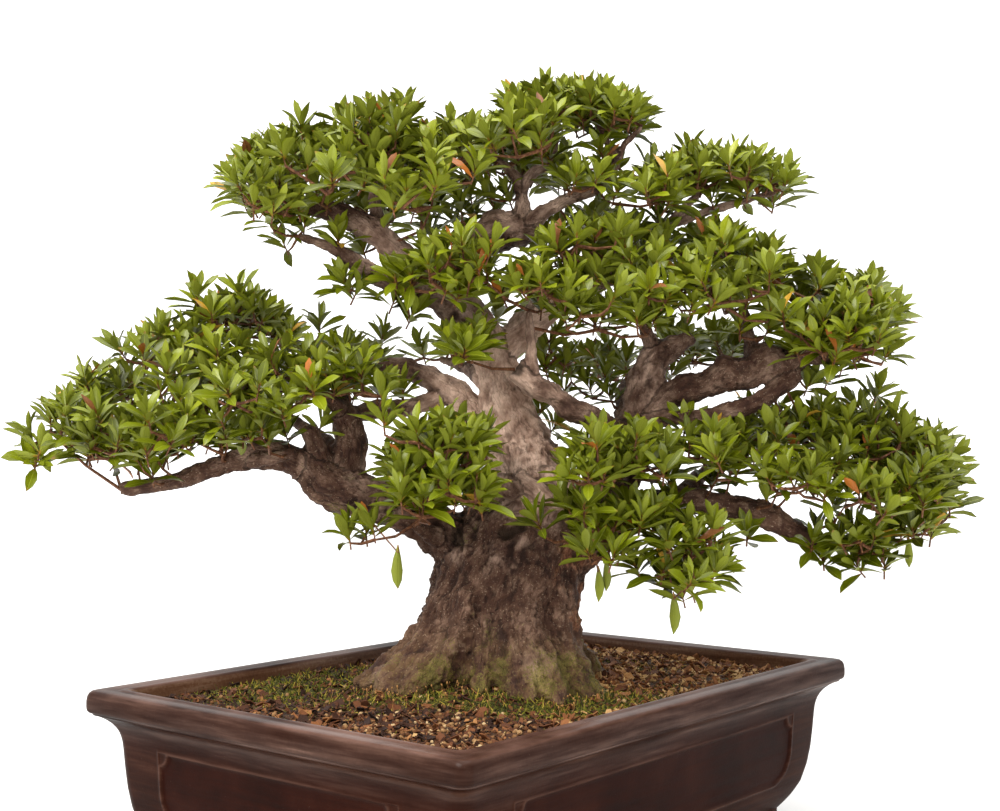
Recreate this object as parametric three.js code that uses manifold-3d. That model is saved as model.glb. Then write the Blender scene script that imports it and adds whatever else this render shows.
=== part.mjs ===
// Satsuki azalea bonsai in an unglazed rectangular pot.
//
// Millimetres, +Z up. The pot's long side runs along X. The tree is laid out in a frame of its own, whose
// front faces -Y and whose origin is on the ground under the pot's middle, and is then turned in the pot.

import * as THREE from 'three';
import { mergeVertices } from 'three/addons/utils/BufferGeometryUtils.js';
import Module from 'manifold-3d';

const wasm = await Module();
wasm.setup();

// ---------------------------------------------------------------- driving dimensions

const GAP = 0.3; // clearance between neighbouring pieces
const TREE_TURN = THREE.MathUtils.degToRad(-50.9); // the tree's front seen against the pot's long side

const POT_LENGTH = 526;
const POT_WIDTH = 394;
const POT_HEIGHT = 148;
const FOOT_HEIGHT = 17;
const FLOOR_TOP = 29;
const CORNER_STEPS = 3; // flats round each corner of the pot
const HOLE_SIDES = 12; // flats round each drainage hole

const PANEL_DEPTH = 2;
const PANEL_LENGTH = 388; // on the long walls
const PANEL_WIDTH = 244; // on the short walls
const PANEL_BOTTOM = 49;
const PANEL_TOP = 110;

const FOOT_LEG = 82; // length of each leg from the foot's corner
const FOOT_INSET = 39;
const FOOT_THICKNESS = 30;
const FOOT_CORNER = 14; // radius of a foot's outer corner
const FOOT_SUNK = 4; // how far it runs into the pot's floor
const FOOT_TAPER = 8; // how far a foot draws in towards the ground
const FOOT_SCROLL = 16; // how far its ends draw in

const DRAIN_RADIUS = 12;
const DRAIN_PLACES = [-110, 110]; // along the pot's length
const MESH_SIZE = 36;
const MESH_BAR = 3;
const MESH_OPENINGS = 2; // each way
const MESH_THICKNESS = 1.6;

const SOIL_EDGE = 136; // soil height at the pot's wall
const SOIL_MOUND = 17; // how much higher it stands round the trunk
const SOIL_FOOT = [5, -5]; // where the mound's top is, in the tree's frame
const SOIL_MOUND_SPREAD = [120, 100]; // along and across the pot
const SOIL_HEAP = { x: 165, y: 60, height: 7, spread: 65 }; // heap towards one back corner
const SOIL_WAVES = { height: 1.6, length: 23, width: 19 };

const TRUNK_SIDES = 11;
const ROOT_SIDES = 5;
const LIMB_SIDES = [[20, 7], [13, 5], [0, 4]]; // [radius above which it holds, sides]

const LEAF_LENGTH = 28;
const LEAF_WIDTH = 10;
const LEAF_THICKNESS = 0.7;
const LEAVES_IN_WHORL = 5;
const HUB_RADIUS = 3.2; // where the leaves of a whorl part
const HUB_THICKNESS = 2.6;
const TWIG_ROOT = 2; // twig radius where it leaves the limb
const TWIG_TIP = 1;
const TWIG_SIDES = 3;
const BUDS_ON_LIMB = 24; // places along a limb that a twig may leave from
const CLEARANCE = 0.35; // between sprays
const TRIES = 16; // draws for each whorl and twig that has to clear its neighbours

const UP = new THREE.Vector3(0, 0, 1);
const SEED = 7;

const COLOURS = {
  pot: 0x5c453c,
  mesh: 0x2c2e2c,
  soil: 0x5a4534,
  wood: 0x6f5a4b,
  leaf: 0x567b22,
};

// Heights of the pot's outline: [inset from the rim's outer face, height, corner radius].
const POT_OUTSIDE = [
  [46, FOOT_HEIGHT, 36],
  [33.5, 27.5, 34],
  [25, 44, 31],
  [PANEL_BOTTOM],
  [PANEL_BOTTOM + 2],
  [18.3, 80, 27],
  [PANEL_TOP - 2],
  [PANEL_TOP],
  [16, 114, 26],
  [9.5, 122, 20],
  [0, 132, 13],
  [0, POT_HEIGHT - 3.5, 13],
  [3.5, POT_HEIGHT, 13],
];
const POT_INSIDE = [
  [25, POT_HEIGHT, 12],
  [26, 140, 12],
  [33, 50, 16],
  [46, FLOOR_TOP, 20],
];

// ---------------------------------------------------------------- the tree's routes, in its own frame

// Each route is a list of [x, y, z, radius].
const TRUNK = [
  [2, -8, 100, 66], [4, -8, 148, 76], [6, -7, 178, 68], [10, -6, 208, 61], [19, -6, 240, 60],
  [30, -5, 272, 50], [38, -4, 292, 30],
];

const ROOTS = [
  // left, left front, front, right front
  [[-22, -14, 186, 36], [-60, -24, 160, 22], [-88, -30, 142, 16], [-112, -32, 122, 9]],
  [[-28, -36, 172, 30], [-60, -66, 149, 18], [-82, -88, 122, 9]],
  [[14, -42, 182, 30], [24, -80, 150, 18], [30, -104, 122, 9]],
  [[38, -30, 182, 30], [64, -58, 152, 20], [92, -80, 122, 9]],
  // right, right back, back, left back
  [[42, -2, 180, 28], [80, 10, 149, 15], [108, 20, 122, 8]],
  [[32, 26, 178, 28], [64, 58, 150, 16], [84, 80, 122, 8]],
  [[0, 34, 178, 30], [-8, 80, 150, 17], [-14, 104, 122, 8]],
  [[-32, 20, 178, 28], [-72, 46, 150, 16], [-98, 62, 122, 8]],
];

const THICK_LIMBS = [
  // low left limb, which sweeps down and out
  [[20, -6, 240, 34], [-17, -7, 246, 30], [-44, -9, 266, 24], [-75, -14, 286, 19], [-110, -19, 296, 21],
    [-138, -18, 307, 21], [-153, -14, 326, 14]],
  // its riser
  [[-122, -14, 298, 17], [-118, -12, 322, 15], [-117, -8, 345, 14], [-122, -4, 365, 12], [-132, 0, 384, 7]],
  // limb behind it to the left
  [[24, 12, 318, 22], [-4, 26, 344, 18], [-30, 42, 376, 14], [-60, 54, 394, 11], [-98, 60, 407, 8],
    [-140, 60, 420, 6], [-186, 56, 431, 4]],
  // leader
  [[40, -5, 262, 44], [40, -3, 300, 34], [26, 0, 338, 26], [14, 3, 370, 21], [6, 5, 398, 18],
    [-3, 5, 425, 17], [-14, 4, 444, 16]],
  // upper left limb
  [[-3, 5, 425, 17], [-28, 1, 456, 18], [-54, -4, 475, 15], [-72, -8, 494, 13], [-90, -10, 512, 11],
    [-118, -8, 529, 10], [-145, -4, 538, 8], [-167, 0, 541, 5]],
  // knobbly limb to the top
  [[-6, 7, 434, 13], [-24, 13, 462, 11], [-25, 17, 490, 12], [-12, 17, 511, 15], [10, 14, 521, 17],
    [32, 9, 520, 13]],
  // upper right limb
  [[0, 6, 405, 14], [24, 10, 434, 14], [49, 6, 455, 14], [73, -2, 474, 13], [94, -8, 488, 11],
    [111, -12, 499, 8]],
  // right fork
  [[45, -8, 245, 36], [72, -10, 270, 27], [100, -8, 304, 20], [120, -2, 344, 17], [131, 5, 384, 17],
    [138, 8, 410, 14], [171, 8, 431, 6]],
  // heavy limb to the right
  [[118, -3, 350, 14], [143, -7, 372, 12], [167, -14, 383, 14], [192, -18, 392, 17], [219, -18, 399, 19],
    [246, -12, 408, 16], [274, -6, 413, 10], [302, 0, 420, 5]],
  // limb to the front left
  [[116, -8, 340, 13], [88, -32, 362, 10], [60, -45, 374, 11], [39, -50, 387, 11], [18, -52, 401, 9]],
  // low right limb
  [[50, -14, 238, 28], [86, -20, 268, 18], [122, -26, 286, 13], [160, -28, 294, 11], [197, -24, 288, 11],
    [228, -18, 281, 11], [251, -12, 268, 10], [277, -6, 257, 7], [308, 0, 253, 4]],
];

const THIN_LIMBS = [
  // low left: outer limb, dead stub, cut stub
  [[-146, -15, 318, 14], [-178, -20, 331, 12], [-206, -24, 327, 10], [-234, -26, 318, 8],
    [-265, -24, 308, 7], [-305, -18, 302, 6]],
  [[-200, -26, 326, 7], [-181, -36, 328, 5.5], [-157, -42, 333, 4.5]],
  [[-138, -16, 322, 11], [-145, -22, 342, 9], [-151, -26, 354, 7]],
  // left: lower limb behind, and a twig of the riser
  [[-40, 46, 381, 9], [-70, 38, 371, 8], [-97, 22, 369, 8], [-118, 2, 364, 8]],
  [[-121, -4, 364, 8], [-133, -30, 378, 5], [-150, -52, 386, 3.5]],
  // upper left: dark lower limb, riser
  [[-46, -2, 463, 10], [-80, -14, 474, 9], [-107, -20, 487, 8], [-129, -18, 502, 6], [-160, -12, 513, 3]],
  [[-91, -8, 512, 9], [-96, 2, 535, 6.5], [-99, 10, 557, 5], [-101, 14, 584, 3.5]],
  // top: riser, right limb and its fork, knob, cut stub, left twig
  [[26, 11, 514, 11], [27, 7, 540, 7], [22, 5, 564, 5], [8, 8, 579, 3.5], [-12, 12, 590, 2.5]],
  [[26, 9, 518, 11], [44, 1, 534, 7], [62, -5, 544, 6], [84, -8, 552, 5.5], [100, -10, 565, 5],
    [112, -8, 590, 3.5], [128, -2, 607, 2.5]],
  [[106, -10, 576, 4], [88, -20, 608, 2.5]],
  [[25, 6, 550, 6], [35, 2, 568, 5], [49, 0, 577, 5], [52, 0, 594, 6], [55, 0, 612, 3]],
  [[73, -7, 546, 4.5], [78, 0, 575, 3.5]],
  // right: dark limb under the upper right limb, its risers
  [[60, 0, 463, 8], [86, -6, 470, 6], [128, -12, 491, 5], [190, 0, 508, 3]],
  [[126, -12, 489, 5], [140, -6, 514, 4.5], [181, 4, 556, 3.5]],
  [[148, -3, 522, 4.5], [176, 6, 534, 4], [204, 10, 543, 4], [243, 12, 554, 3]],
  [[141, 8, 413, 9], [131, 4, 436, 6], [126, 0, 460, 4]],
  // right: limb below the heavy one, risers
  [[125, -8, 362, 9], [150, -19, 365, 7], [178, -25, 367, 8], [205, -27, 374, 9], [231, -22, 384, 9],
    [254, -13, 398, 8]],
  [[220, -15, 402, 10], [217, -6, 426, 6], [212, 4, 462, 4]],
  // front left: upright twig
  [[33, -50, 386, 7], [33, -50, 420, 5], [31, -47, 448, 3.5]],
  // low front twigs
  [[-40, -12, 262, 12], [-50, -44, 268, 7], [-60, -70, 276, 4]],
  [[30, -20, 300, 14], [12, -52, 305, 7], [-6, -76, 312, 4]],
  [[70, -14, 262, 14], [72, -50, 264, 7], [70, -76, 268, 4]],
  [[108, -10, 310, 12], [100, -44, 318, 6], [96, -68, 324, 4]],
  // limbs to the back
  [[16, 2, 362, 16], [0, 50, 388, 9], [-22, 112, 408, 6], [-48, 168, 420, 3.5]],
  [[122, 2, 350, 14], [118, 60, 382, 8], [136, 138, 408, 4.5]],
  [[8, 16, 520, 11], [14, 66, 538, 6], [0, 128, 556, 3.5]],
  [[-80, -6, 500, 10], [-98, 48, 522, 6], [-108, 104, 544, 3.5]],
  [[76, 0, 474, 10], [100, 52, 494, 6], [134, 112, 514, 3.5]],
  [[150, -24, 292, 10], [182, 38, 312, 6], [216, 100, 334, 3.5]],
  [[-108, -14, 300, 14], [-134, 40, 334, 8], [-196, 108, 370, 4]],
];

// Whorl centres of each spray, as [x, y, z].
const SPRAYS = [
  // low left pad
  [[-365, -15, 364], [-322, -50, 335]],
  [[-348, 42, 388], [-290, 8, 424]],
  [[-270, -65, 350]],
  [[-250, 12, 461], [-205, 42, 460]],
  [[-240, -38, 388]],
  [[-171, -80, 378], [-186, -30, 408]],
  [[-150, 50, 446], [-95, 55, 436]],
  [[-106, -50, 396]],
  [[-215, -58, 345], [-272, -48, 318]],
  // upper left pad
  [[-218, 0, 561], [-180, -40, 535]],
  [[-198, 22, 592], [-160, 2, 609]],
  [[-130, -58, 560]],
  [[-126, 20, 618]],
  [[-85, -38, 590], [-70, 2, 623]],
  [[-44, -70, 543], [-48, -16, 578]],
  [[-178, 15, 514], [-119, -38, 474]],
  [[-62, -70, 475], [-28, -62, 423]],
  // top pad
  [[-33, 0, 608], [-4, 42, 590]],
  [[21, -8, 625], [6, -50, 590]],
  [[46, 16, 642]],
  [[84, 0, 634], [122, -12, 618]],
  [[104, -38, 548]],
  // upper right pad
  [[134, -8, 574], [170, 16, 589]],
  [[205, -10, 581], [250, 6, 568]],
  // middle right pads
  [[84, -56, 508]],
  [[-4, -76, 482], [40, -82, 468]],
  [[92, -72, 445], [131, -66, 470]],
  [[174, -16, 510], [206, 18, 514]],
  [[180, -55, 462]],
  [[248, 0, 482], [252, -48, 436]],
  [[304, 16, 470], [341, 0, 452]],
  [[330, -22, 418], [292, -52, 424]],
  // low right pad
  [[160, -56, 343], [206, -18, 347]],
  [[231, -62, 315], [258, 20, 356]],
  [[302, 0, 353], [332, 26, 386]],
  [[349, 5, 345], [386, 0, 328]],
  [[288, -56, 305], [340, -36, 308]],
  [[388, 18, 288], [308, -15, 256]],
  // front
  [[-38, -100, 351], [-78, -84, 330]],
  [[-4, -92, 348], [-14, -104, 309]],
  [[-54, -100, 292], [-92, -78, 278]],
  [[72, -92, 332], [118, -76, 335]],
  [[78, -92, 273], [36, -104, 282]],
  [[138, -76, 280], [158, -82, 240]],
  // back
  [[-68, 170, 430]],
  [[18, 186, 424], [-14, 132, 456]],
  [[110, 152, 432], [156, 166, 422]],
  [[192, 122, 430]],
  [[-20, 148, 576], [22, 128, 592]],
  [[-122, 126, 560], [-84, 94, 592]],
  [[130, 138, 538]],
  [[224, 120, 356]],
  [[-212, 128, 396]],
];

// ---------------------------------------------------------------- solids

/** Makes a closed solid of a geometry: like corners are merged, and faces turned to point outwards. */
function solidOf(geometry) {
  geometry.deleteAttribute('normal');
  geometry.deleteAttribute('uv');
  const merged = mergeVertices(geometry, 1e-4);
  const vertProperties = new Float32Array(merged.attributes.position.array);
  const triVerts = new Uint32Array(merged.index.array);
  const solid = new wasm.Manifold(new wasm.Mesh({ numProp: 3, vertProperties, triVerts }));
  if (solid.volume() > 0) {
    return solid;
  }
  return new wasm.Manifold(new wasm.Mesh({ numProp: 3, vertProperties, triVerts: triVerts.reverse() }));
}

/** Makes a geometry of a solid. */
function geometryOf(solid) {
  const mesh = solid.getMesh();
  const geometry = new THREE.BufferGeometry();
  geometry.setAttribute('position', new THREE.BufferAttribute(new Float32Array(mesh.vertProperties), 3));
  geometry.setIndex(new THREE.BufferAttribute(new Uint32Array(mesh.triVerts), 1));
  const flat = geometry.toNonIndexed();
  flat.computeVertexNormals();
  return flat;
}

/** Joins a list of solids into one. */
function joined(solids) {
  return solids.reduce((sum, solid) => sum.add(solid));
}

/** The largest of the bodies that a solid falls into: loose scraps are dropped. */
function largestBody(solid) {
  const bodies = solid.decompose();
  return bodies.reduce((best, body) => (body.volume() > best.volume() ? body : best));
}

/** Moves every corner of a geometry by a function of its place. */
function bend(geometry, place) {
  const position = geometry.attributes.position;
  const corner = new THREE.Vector3();
  for (let i = 0; i < position.count; i += 1) {
    corner.fromBufferAttribute(position, i);
    place(corner);
    position.setXYZ(i, corner.x, corner.y, corner.z);
  }
  return geometry;
}

/** A seeded source of numbers from 0 to 1. */
function randomSource(seed) {
  let state = seed * 2654435761 % 4294967296;
  return () => {
    state = (state * 1664525 + 1013904223) % 4294967296;
    return state / 4294967296;
  };
}

function named(name, solid, colour, roughness) {
  const material = new THREE.MeshStandardMaterial({ color: colour, roughness, metalness: 0 });
  const mesh = new THREE.Mesh(geometryOf(solid), material);
  mesh.name = name;
  return mesh;
}

// ---------------------------------------------------------------- pot

/** Fills in the rows at the panels' edges, which lie on the line between the rows round them. */
function withPanelRows(profile) {
  return profile.map((row, i) => {
    if (row.length > 1) {
      return row;
    }
    const below = profile.slice(0, i).findLast((other) => other.length > 1);
    const above = profile.slice(i).find((other) => other.length > 1);
    const share = (row[0] - below[1]) / (above[1] - below[1]);
    return below.map((value, k) => THREE.MathUtils.lerp(value, above[k], share));
  });
}

/**
 * The places of one ring round the pot, which is a rounded rectangle: a few round each corner, and where
 * there are panels, four along each wall, just outside and just inside each end of its panel.
 */
function ringPlaces(withPanels) {
  const places = [];
  for (let side = 0; side < 4; side += 1) {
    for (let step = 0; step <= CORNER_STEPS; step += 1) {
      places.push({ side, corner: step / CORNER_STEPS });
    }
    const ends = withPanels ? [[-1, false], [-1, true], [1, true], [1, false]] : [[0, false]];
    for (const [end, inside] of ends) {
      places.push({ side, end, inside });
    }
  }
  return places;
}

/** The place on the pot's plan of one step of a ring, for a row of the outline. */
function potCorner(place, inset, height, cornerRadius, panelRows) {
  const halfLength = POT_LENGTH / 2 - inset;
  const halfWidth = POT_WIDTH / 2 - inset;
  const turn = place.side * Math.PI / 2;
  const longSide = place.side % 2 === 0;
  const reach = longSide ? halfLength : halfWidth; // to the wall that this side's corner comes before
  const across = longSide ? halfWidth : halfLength;
  const local = new THREE.Vector3();
  if (place.corner !== undefined) {
    const angle = (place.corner - 1) * Math.PI / 2;
    local.set(
      reach - cornerRadius + cornerRadius * Math.cos(angle),
      -across + cornerRadius + cornerRadius * Math.sin(angle),
      height,
    );
  } else {
    const half = (longSide ? PANEL_WIDTH : PANEL_LENGTH) / 2;
    const sunk = place.inside && panelRows;
    local.set(
      reach - (sunk ? PANEL_DEPTH : 0),
      place.end * (place.inside ? half - 2 : half),
      height,
    );
  }
  return local.applyAxisAngle(UP, turn);
}

/** A closed solid of rows that follow the pot's plan, from the bottom's middle to the top's middle. */
function potShell(places, rows, finish = () => {}) {
  const count = places.length;
  const profile = rows.map((row, i) => new THREE.Vector2(1, i));
  profile.unshift(new THREE.Vector2(0, 0));
  profile.push(new THREE.Vector2(0, rows.length - 1));
  // Rows are numbered by the lathe's height, and places by its angle.
  const shell = new THREE.LatheGeometry(profile, count);
  return solidOf(bend(shell, (corner) => {
    const row = rows[Math.round(corner.y)];
    if (Math.hypot(corner.x, corner.z) < 0.5) {
      corner.set(0, 0, row[1]);
    } else {
      const turn = Math.atan2(corner.x, corner.z) / (2 * Math.PI);
      const step = (Math.round(turn * count) + count) % count;
      const sunkRow = row[1] > PANEL_BOTTOM + 1 && row[1] < PANEL_TOP - 1 && row[0] < 25;
      corner.copy(potCorner(places[step], row[0], row[1], row[2], sunkRow));
    }
    finish(corner);
  }));
}

/** One L-shaped corner foot, drawn in towards the ground, with scrolled ends. */
function foot(signX, signY) {
  const plan = new THREE.Shape();
  plan.moveTo(0, FOOT_CORNER);
  plan.absarc(FOOT_CORNER, FOOT_CORNER, FOOT_CORNER, Math.PI, 1.5 * Math.PI, false);
  plan.lineTo(FOOT_LEG, 0);
  plan.lineTo(FOOT_LEG, FOOT_THICKNESS);
  plan.lineTo(FOOT_THICKNESS, FOOT_THICKNESS);
  plan.lineTo(FOOT_THICKNESS, FOOT_LEG);
  plan.lineTo(0, FOOT_LEG);
  const geometry = new THREE.ExtrudeGeometry(plan, {
    depth: FOOT_HEIGHT + FOOT_SUNK, steps: 2, bevelEnabled: false, curveSegments: 2,
  });
  bend(geometry, (corner) => {
    const low = Math.max(0, 1 - corner.z / FOOT_HEIGHT); // 1 on the ground, 0 at the pot's floor
    const draw = FOOT_TAPER * low * low;
    const scroll = FOOT_SCROLL * Math.sqrt(low);
    const atEndX = corner.x > FOOT_LEG - 1;
    const atEndY = corner.y > FOOT_LEG - 1;
    corner.x = atEndX ? corner.x - scroll : corner.x;
    corner.y = atEndY ? corner.y - scroll : corner.y;
    corner.x += corner.x < FOOT_THICKNESS - 1 ? draw : 0;
    corner.y += corner.y < FOOT_THICKNESS - 1 ? draw : 0;
    corner.x = signX * (POT_LENGTH / 2 - FOOT_INSET - corner.x);
    corner.y = signY * (POT_WIDTH / 2 - FOOT_INSET - corner.y);
  });
  return solidOf(geometry);
}

function potSolid() {
  let pot = potShell(ringPlaces(true), [...withPanelRows(POT_OUTSIDE), ...POT_INSIDE]);
  for (const [x, y] of [[1, 1], [-1, 1], [-1, -1], [1, -1]]) {
    pot = pot.add(foot(x, y));
  }
  for (const x of DRAIN_PLACES) {
    const drill = new THREE.CylinderGeometry(DRAIN_RADIUS, DRAIN_RADIUS, 2 * FLOOR_TOP, HOLE_SIDES);
    pot = pot.subtract(solidOf(drill.rotateX(Math.PI / 2).translate(x, 0, FLOOR_TOP)));
  }
  return pot;
}

/** A square of coarse plastic netting that lies over a drainage hole. */
function drainMesh(x) {
  const height = FLOOR_TOP + GAP + MESH_THICKNESS / 2;
  const pitch = (MESH_SIZE - MESH_BAR) / MESH_OPENINGS;
  const sheet = new THREE.BoxGeometry(MESH_SIZE, MESH_SIZE, MESH_THICKNESS);
  let netting = solidOf(sheet.translate(x, 0, height));
  for (let i = 0; i < MESH_OPENINGS; i += 1) {
    for (let k = 0; k < MESH_OPENINGS; k += 1) {
      const opening = new THREE.BoxGeometry(pitch - MESH_BAR, pitch - MESH_BAR, 2 * MESH_THICKNESS);
      const across = (i - (MESH_OPENINGS - 1) / 2) * pitch;
      const along = (k - (MESH_OPENINGS - 1) / 2) * pitch;
      netting = netting.subtract(solidOf(opening.translate(x + across, along, height)));
    }
  }
  return netting;
}

// ---------------------------------------------------------------- soil

/** Height of the soil at a place in the pot: a mound round the trunk, a heap behind it, and small waves. */
function soilHeight(x, y) {
  const top = new THREE.Vector3(...SOIL_FOOT, 0).applyAxisAngle(UP, TREE_TURN);
  const [length, width] = SOIL_MOUND_SPREAD;
  const mound = SOIL_MOUND * Math.exp(-(((x - top.x) / length) ** 2) - ((y - top.y) / width) ** 2);
  const away = Math.hypot(x - SOIL_HEAP.x, y - SOIL_HEAP.y) / SOIL_HEAP.spread;
  const heap = SOIL_HEAP.height * Math.exp(-(away ** 2));
  const waves = SOIL_WAVES.height * Math.sin(x / SOIL_WAVES.length + 1) * Math.cos(y / SOIL_WAVES.width);
  const wall = POT_INSIDE[1][0];
  const inside = Math.min(POT_LENGTH / 2 - wall - Math.abs(x), POT_WIDTH / 2 - wall - Math.abs(y));
  return SOIL_EDGE + mound + (heap + waves) * THREE.MathUtils.clamp(inside / wall, 0, 1);
}

/** The soil, which fills the pot, with a pocket over each drainage mesh and a hole for the tree's base. */
function soilSolid(base) {
  const [, lip, knee, floor] = POT_INSIDE;
  const share = (SOIL_EDGE - knee[1]) / (lip[1] - knee[1]);
  const edge = THREE.MathUtils.lerp(knee[0], lip[0], share) + GAP;
  const rows = [
    [floor[0] + GAP, FLOOR_TOP + GAP, floor[2]],
    [knee[0] + GAP, knee[1], knee[2]],
    [edge, SOIL_EDGE, lip[2]],
    [edge + 24, SOIL_EDGE, 20],
    [edge + 80, SOIL_EDGE, 50],
  ];
  const shell = potShell(ringPlaces(false), rows, (corner) => {
    corner.z = corner.z >= SOIL_EDGE ? soilHeight(corner.x, corner.y) : corner.z;
  });
  const pockets = DRAIN_PLACES.map((x) => {
    const size = MESH_SIZE + 2 * GAP;
    const pocket = new THREE.BoxGeometry(size, size, 2 * (MESH_THICKNESS + 2 * GAP));
    return solidOf(pocket.translate(x, 0, FLOOR_TOP));
  });
  return largestBody(shell.subtract(joined(pockets)).subtract(base));
}

// ---------------------------------------------------------------- wood

/** A repeatable number from -0.5 to 0.5 for a ring and side of a limb. */
function knob(ring, side, seed) {
  const wave = Math.sin(ring * 12.9898 + side * 78.233 + seed * 37.719) * 43758.5453;
  return wave - Math.floor(wave) - 0.5;
}

/** A closed knobbly tube along a route of [x, y, z, radius], grown all round by a clearance. */
function limb(route, { sides, knobs, grow, depth = 1 }) {
  const curve = new THREE.CatmullRomCurve3(route.map(([x, y, z]) => new THREE.Vector3(x, y, z)));
  const steps = route.length - 1;
  const run = curve.getPoint(1).sub(curve.getPoint(0)).normalize();
  const reference = Math.abs(run.y) > 0.6 ? UP : new THREE.Vector3(0, 1, 0);
  const seed = route[0][0] + route[0][2];
  const tube = new THREE.CylinderGeometry(1, 1, 1, sides, steps);
  return solidOf(bend(tube, (corner) => {
    const ring = Math.round((0.5 - corner.y) * steps);
    const along = ring / steps;
    const side = Math.round(Math.atan2(corner.x, corner.z) / (2 * Math.PI) * sides + sides) % sides;
    const rough = route[ring][3] * (1 + knobs * knob(ring, side, seed)) + grow;
    const tangent = curve.getTangent(along);
    const across = new THREE.Vector3().crossVectors(tangent, reference).normalize();
    const third = new THREE.Vector3().crossVectors(across, tangent);
    const { x, z } = corner;
    corner.copy(curve.getPoint(along));
    corner.addScaledVector(tangent, (ring === 0 ? -grow : 0) + (ring === steps ? grow : 0));
    corner.addScaledVector(across, x * rough * (reference.y ? 1 : depth));
    corner.addScaledVector(third, -z * rough * (reference.y ? depth : 1));
  }));
}

/** The trunk's foot and its surface roots. */
function rootBase(grow) {
  const trunk = limb(TRUNK, { sides: TRUNK_SIDES, knobs: 0.08, depth: 0.86, grow });
  return joined([trunk, ...ROOTS.map((route) => limb(route, { sides: ROOT_SIDES, knobs: 0.2, grow }))]);
}

/** How many sides a limb of some radius has. */
function sidesOf(radius) {
  return LIMB_SIDES.find(([least]) => radius > least)[1];
}

/** Roots, trunk and limbs, which grew as one piece. */
function woodSolid(grow) {
  const limbs = [...THICK_LIMBS, ...THIN_LIMBS].map((route) => {
    const thickest = Math.max(...route.map((place) => place[3]));
    return limb(route, { sides: sidesOf(thickest), knobs: 0.2, grow });
  });
  return joined([rootBase(grow), ...limbs]);
}

/** Places along the middle of every limb that twigs can grow from, clear of its two ends. */
const BUDS = [...THICK_LIMBS, ...THIN_LIMBS].flatMap((route) => {
  const curve = new THREE.CatmullRomCurve3(route.map(([x, y, z]) => new THREE.Vector3(x, y, z)));
  return curve.getPoints(BUDS_ON_LIMB).slice(2, -1);
});

/** The buds that a twig to some place grows from most readily: the near ones, and those it rises from. */
function nearestBuds(target, count) {
  const cost = (bud) => bud.distanceTo(target) + 0.7 * Math.max(0, bud.z - target.z);
  return [...BUDS].sort((a, b) => cost(a) - cost(b)).slice(0, count);
}

// ---------------------------------------------------------------- leafy sprays

/** One whorl: a star of lance-shaped leaves cut in one thin sheet, each then lifted and arched. */
function whorl(leaves, grow) {
  const count = leaves.length;
  const sector = 2 * Math.PI / count;
  const star = new THREE.Shape();
  leaves.forEach((leaf, i) => {
    const heading = i * sector;
    const at = (along, across) => [
      along * Math.cos(heading) - across * Math.sin(heading),
      along * Math.sin(heading) + across * Math.cos(heading),
    ];
    const half = leaf.width / 2 + grow;
    const notch = heading - sector / 2;
    const start = [HUB_RADIUS * Math.cos(notch), HUB_RADIUS * Math.sin(notch)];
    if (i === 0) {
      star.moveTo(...start);
    } else {
      star.lineTo(...start);
    }
    star.lineTo(...at(0.58 * leaf.length, -half));
    star.lineTo(...at(leaf.length + grow, 0));
    star.lineTo(...at(0.58 * leaf.length, half));
  });
  star.closePath();
  const sheet = new THREE.ExtrudeGeometry(star, { depth: 1, steps: 1, bevelEnabled: false });
  return bend(sheet, (corner) => {
    const over = corner.z - 0.5; // half above the sheet's middle, half below
    if (Math.hypot(corner.x, corner.y) < HUB_RADIUS + 0.01) {
      corner.z = 2 * over * (HUB_THICKNESS / 2 + grow) - 0.4;
      return;
    }
    const turn = Math.round(Math.atan2(corner.y, corner.x) / sector);
    const leaf = leaves[(turn + count) % count];
    const heading = turn * sector;
    const along = corner.x * Math.cos(heading) + corner.y * Math.sin(heading) - HUB_RADIUS;
    const across = -corner.x * Math.sin(heading) + corner.y * Math.cos(heading);
    const arch = leaf.arch * along / leaf.length;
    const slope = leaf.rise - arch;
    const lift = leaf.rise - arch / 2;
    const thick = 2 * over * (LEAF_THICKNESS / 2 + grow);
    const out = HUB_RADIUS + along * Math.cos(lift) - thick * Math.sin(slope);
    corner.set(
      out * Math.cos(heading) - across * Math.sin(heading),
      out * Math.sin(heading) + across * Math.cos(heading),
      along * Math.sin(lift) + thick * Math.cos(slope),
    );
  });
}

/** Draws the leaves of one whorl: neighbours rise by turns more and less steeply. */
function drawnLeaves(random) {
  return Array.from({ length: LEAVES_IN_WHORL }, (_, i) => ({
    length: LEAF_LENGTH * (0.88 + 0.24 * random()),
    width: LEAF_WIDTH * (0.88 + 0.24 * random()),
    rise: THREE.MathUtils.degToRad((i % 2 ? 22 : 46) + 14 * (random() - 0.5)),
    arch: THREE.MathUtils.degToRad(18 + 22 * random()),
  }));
}

/** A thin twig through some places. */
function twig(places, rootRadius, tipRadius, grow) {
  const last = places.length - 1;
  const route = places.map((place, i) => (
    [place.x, place.y, place.z, THREE.MathUtils.lerp(rootRadius, tipRadius, i / last)]
  ));
  return limb(route, { sides: TWIG_SIDES, knobs: 0, grow });
}

/** Whether a solid meets any of the solids it has to clear. */
function meets(solid, others) {
  const a = solid.boundingBox();
  return others.some((other) => {
    const b = other.boundingBox();
    const apart = [0, 1, 2].some((k) => a.min[k] > b.max[k] || b.min[k] > a.max[k]);
    return !apart && !solid.intersect(other).isEmpty();
  });
}

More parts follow.
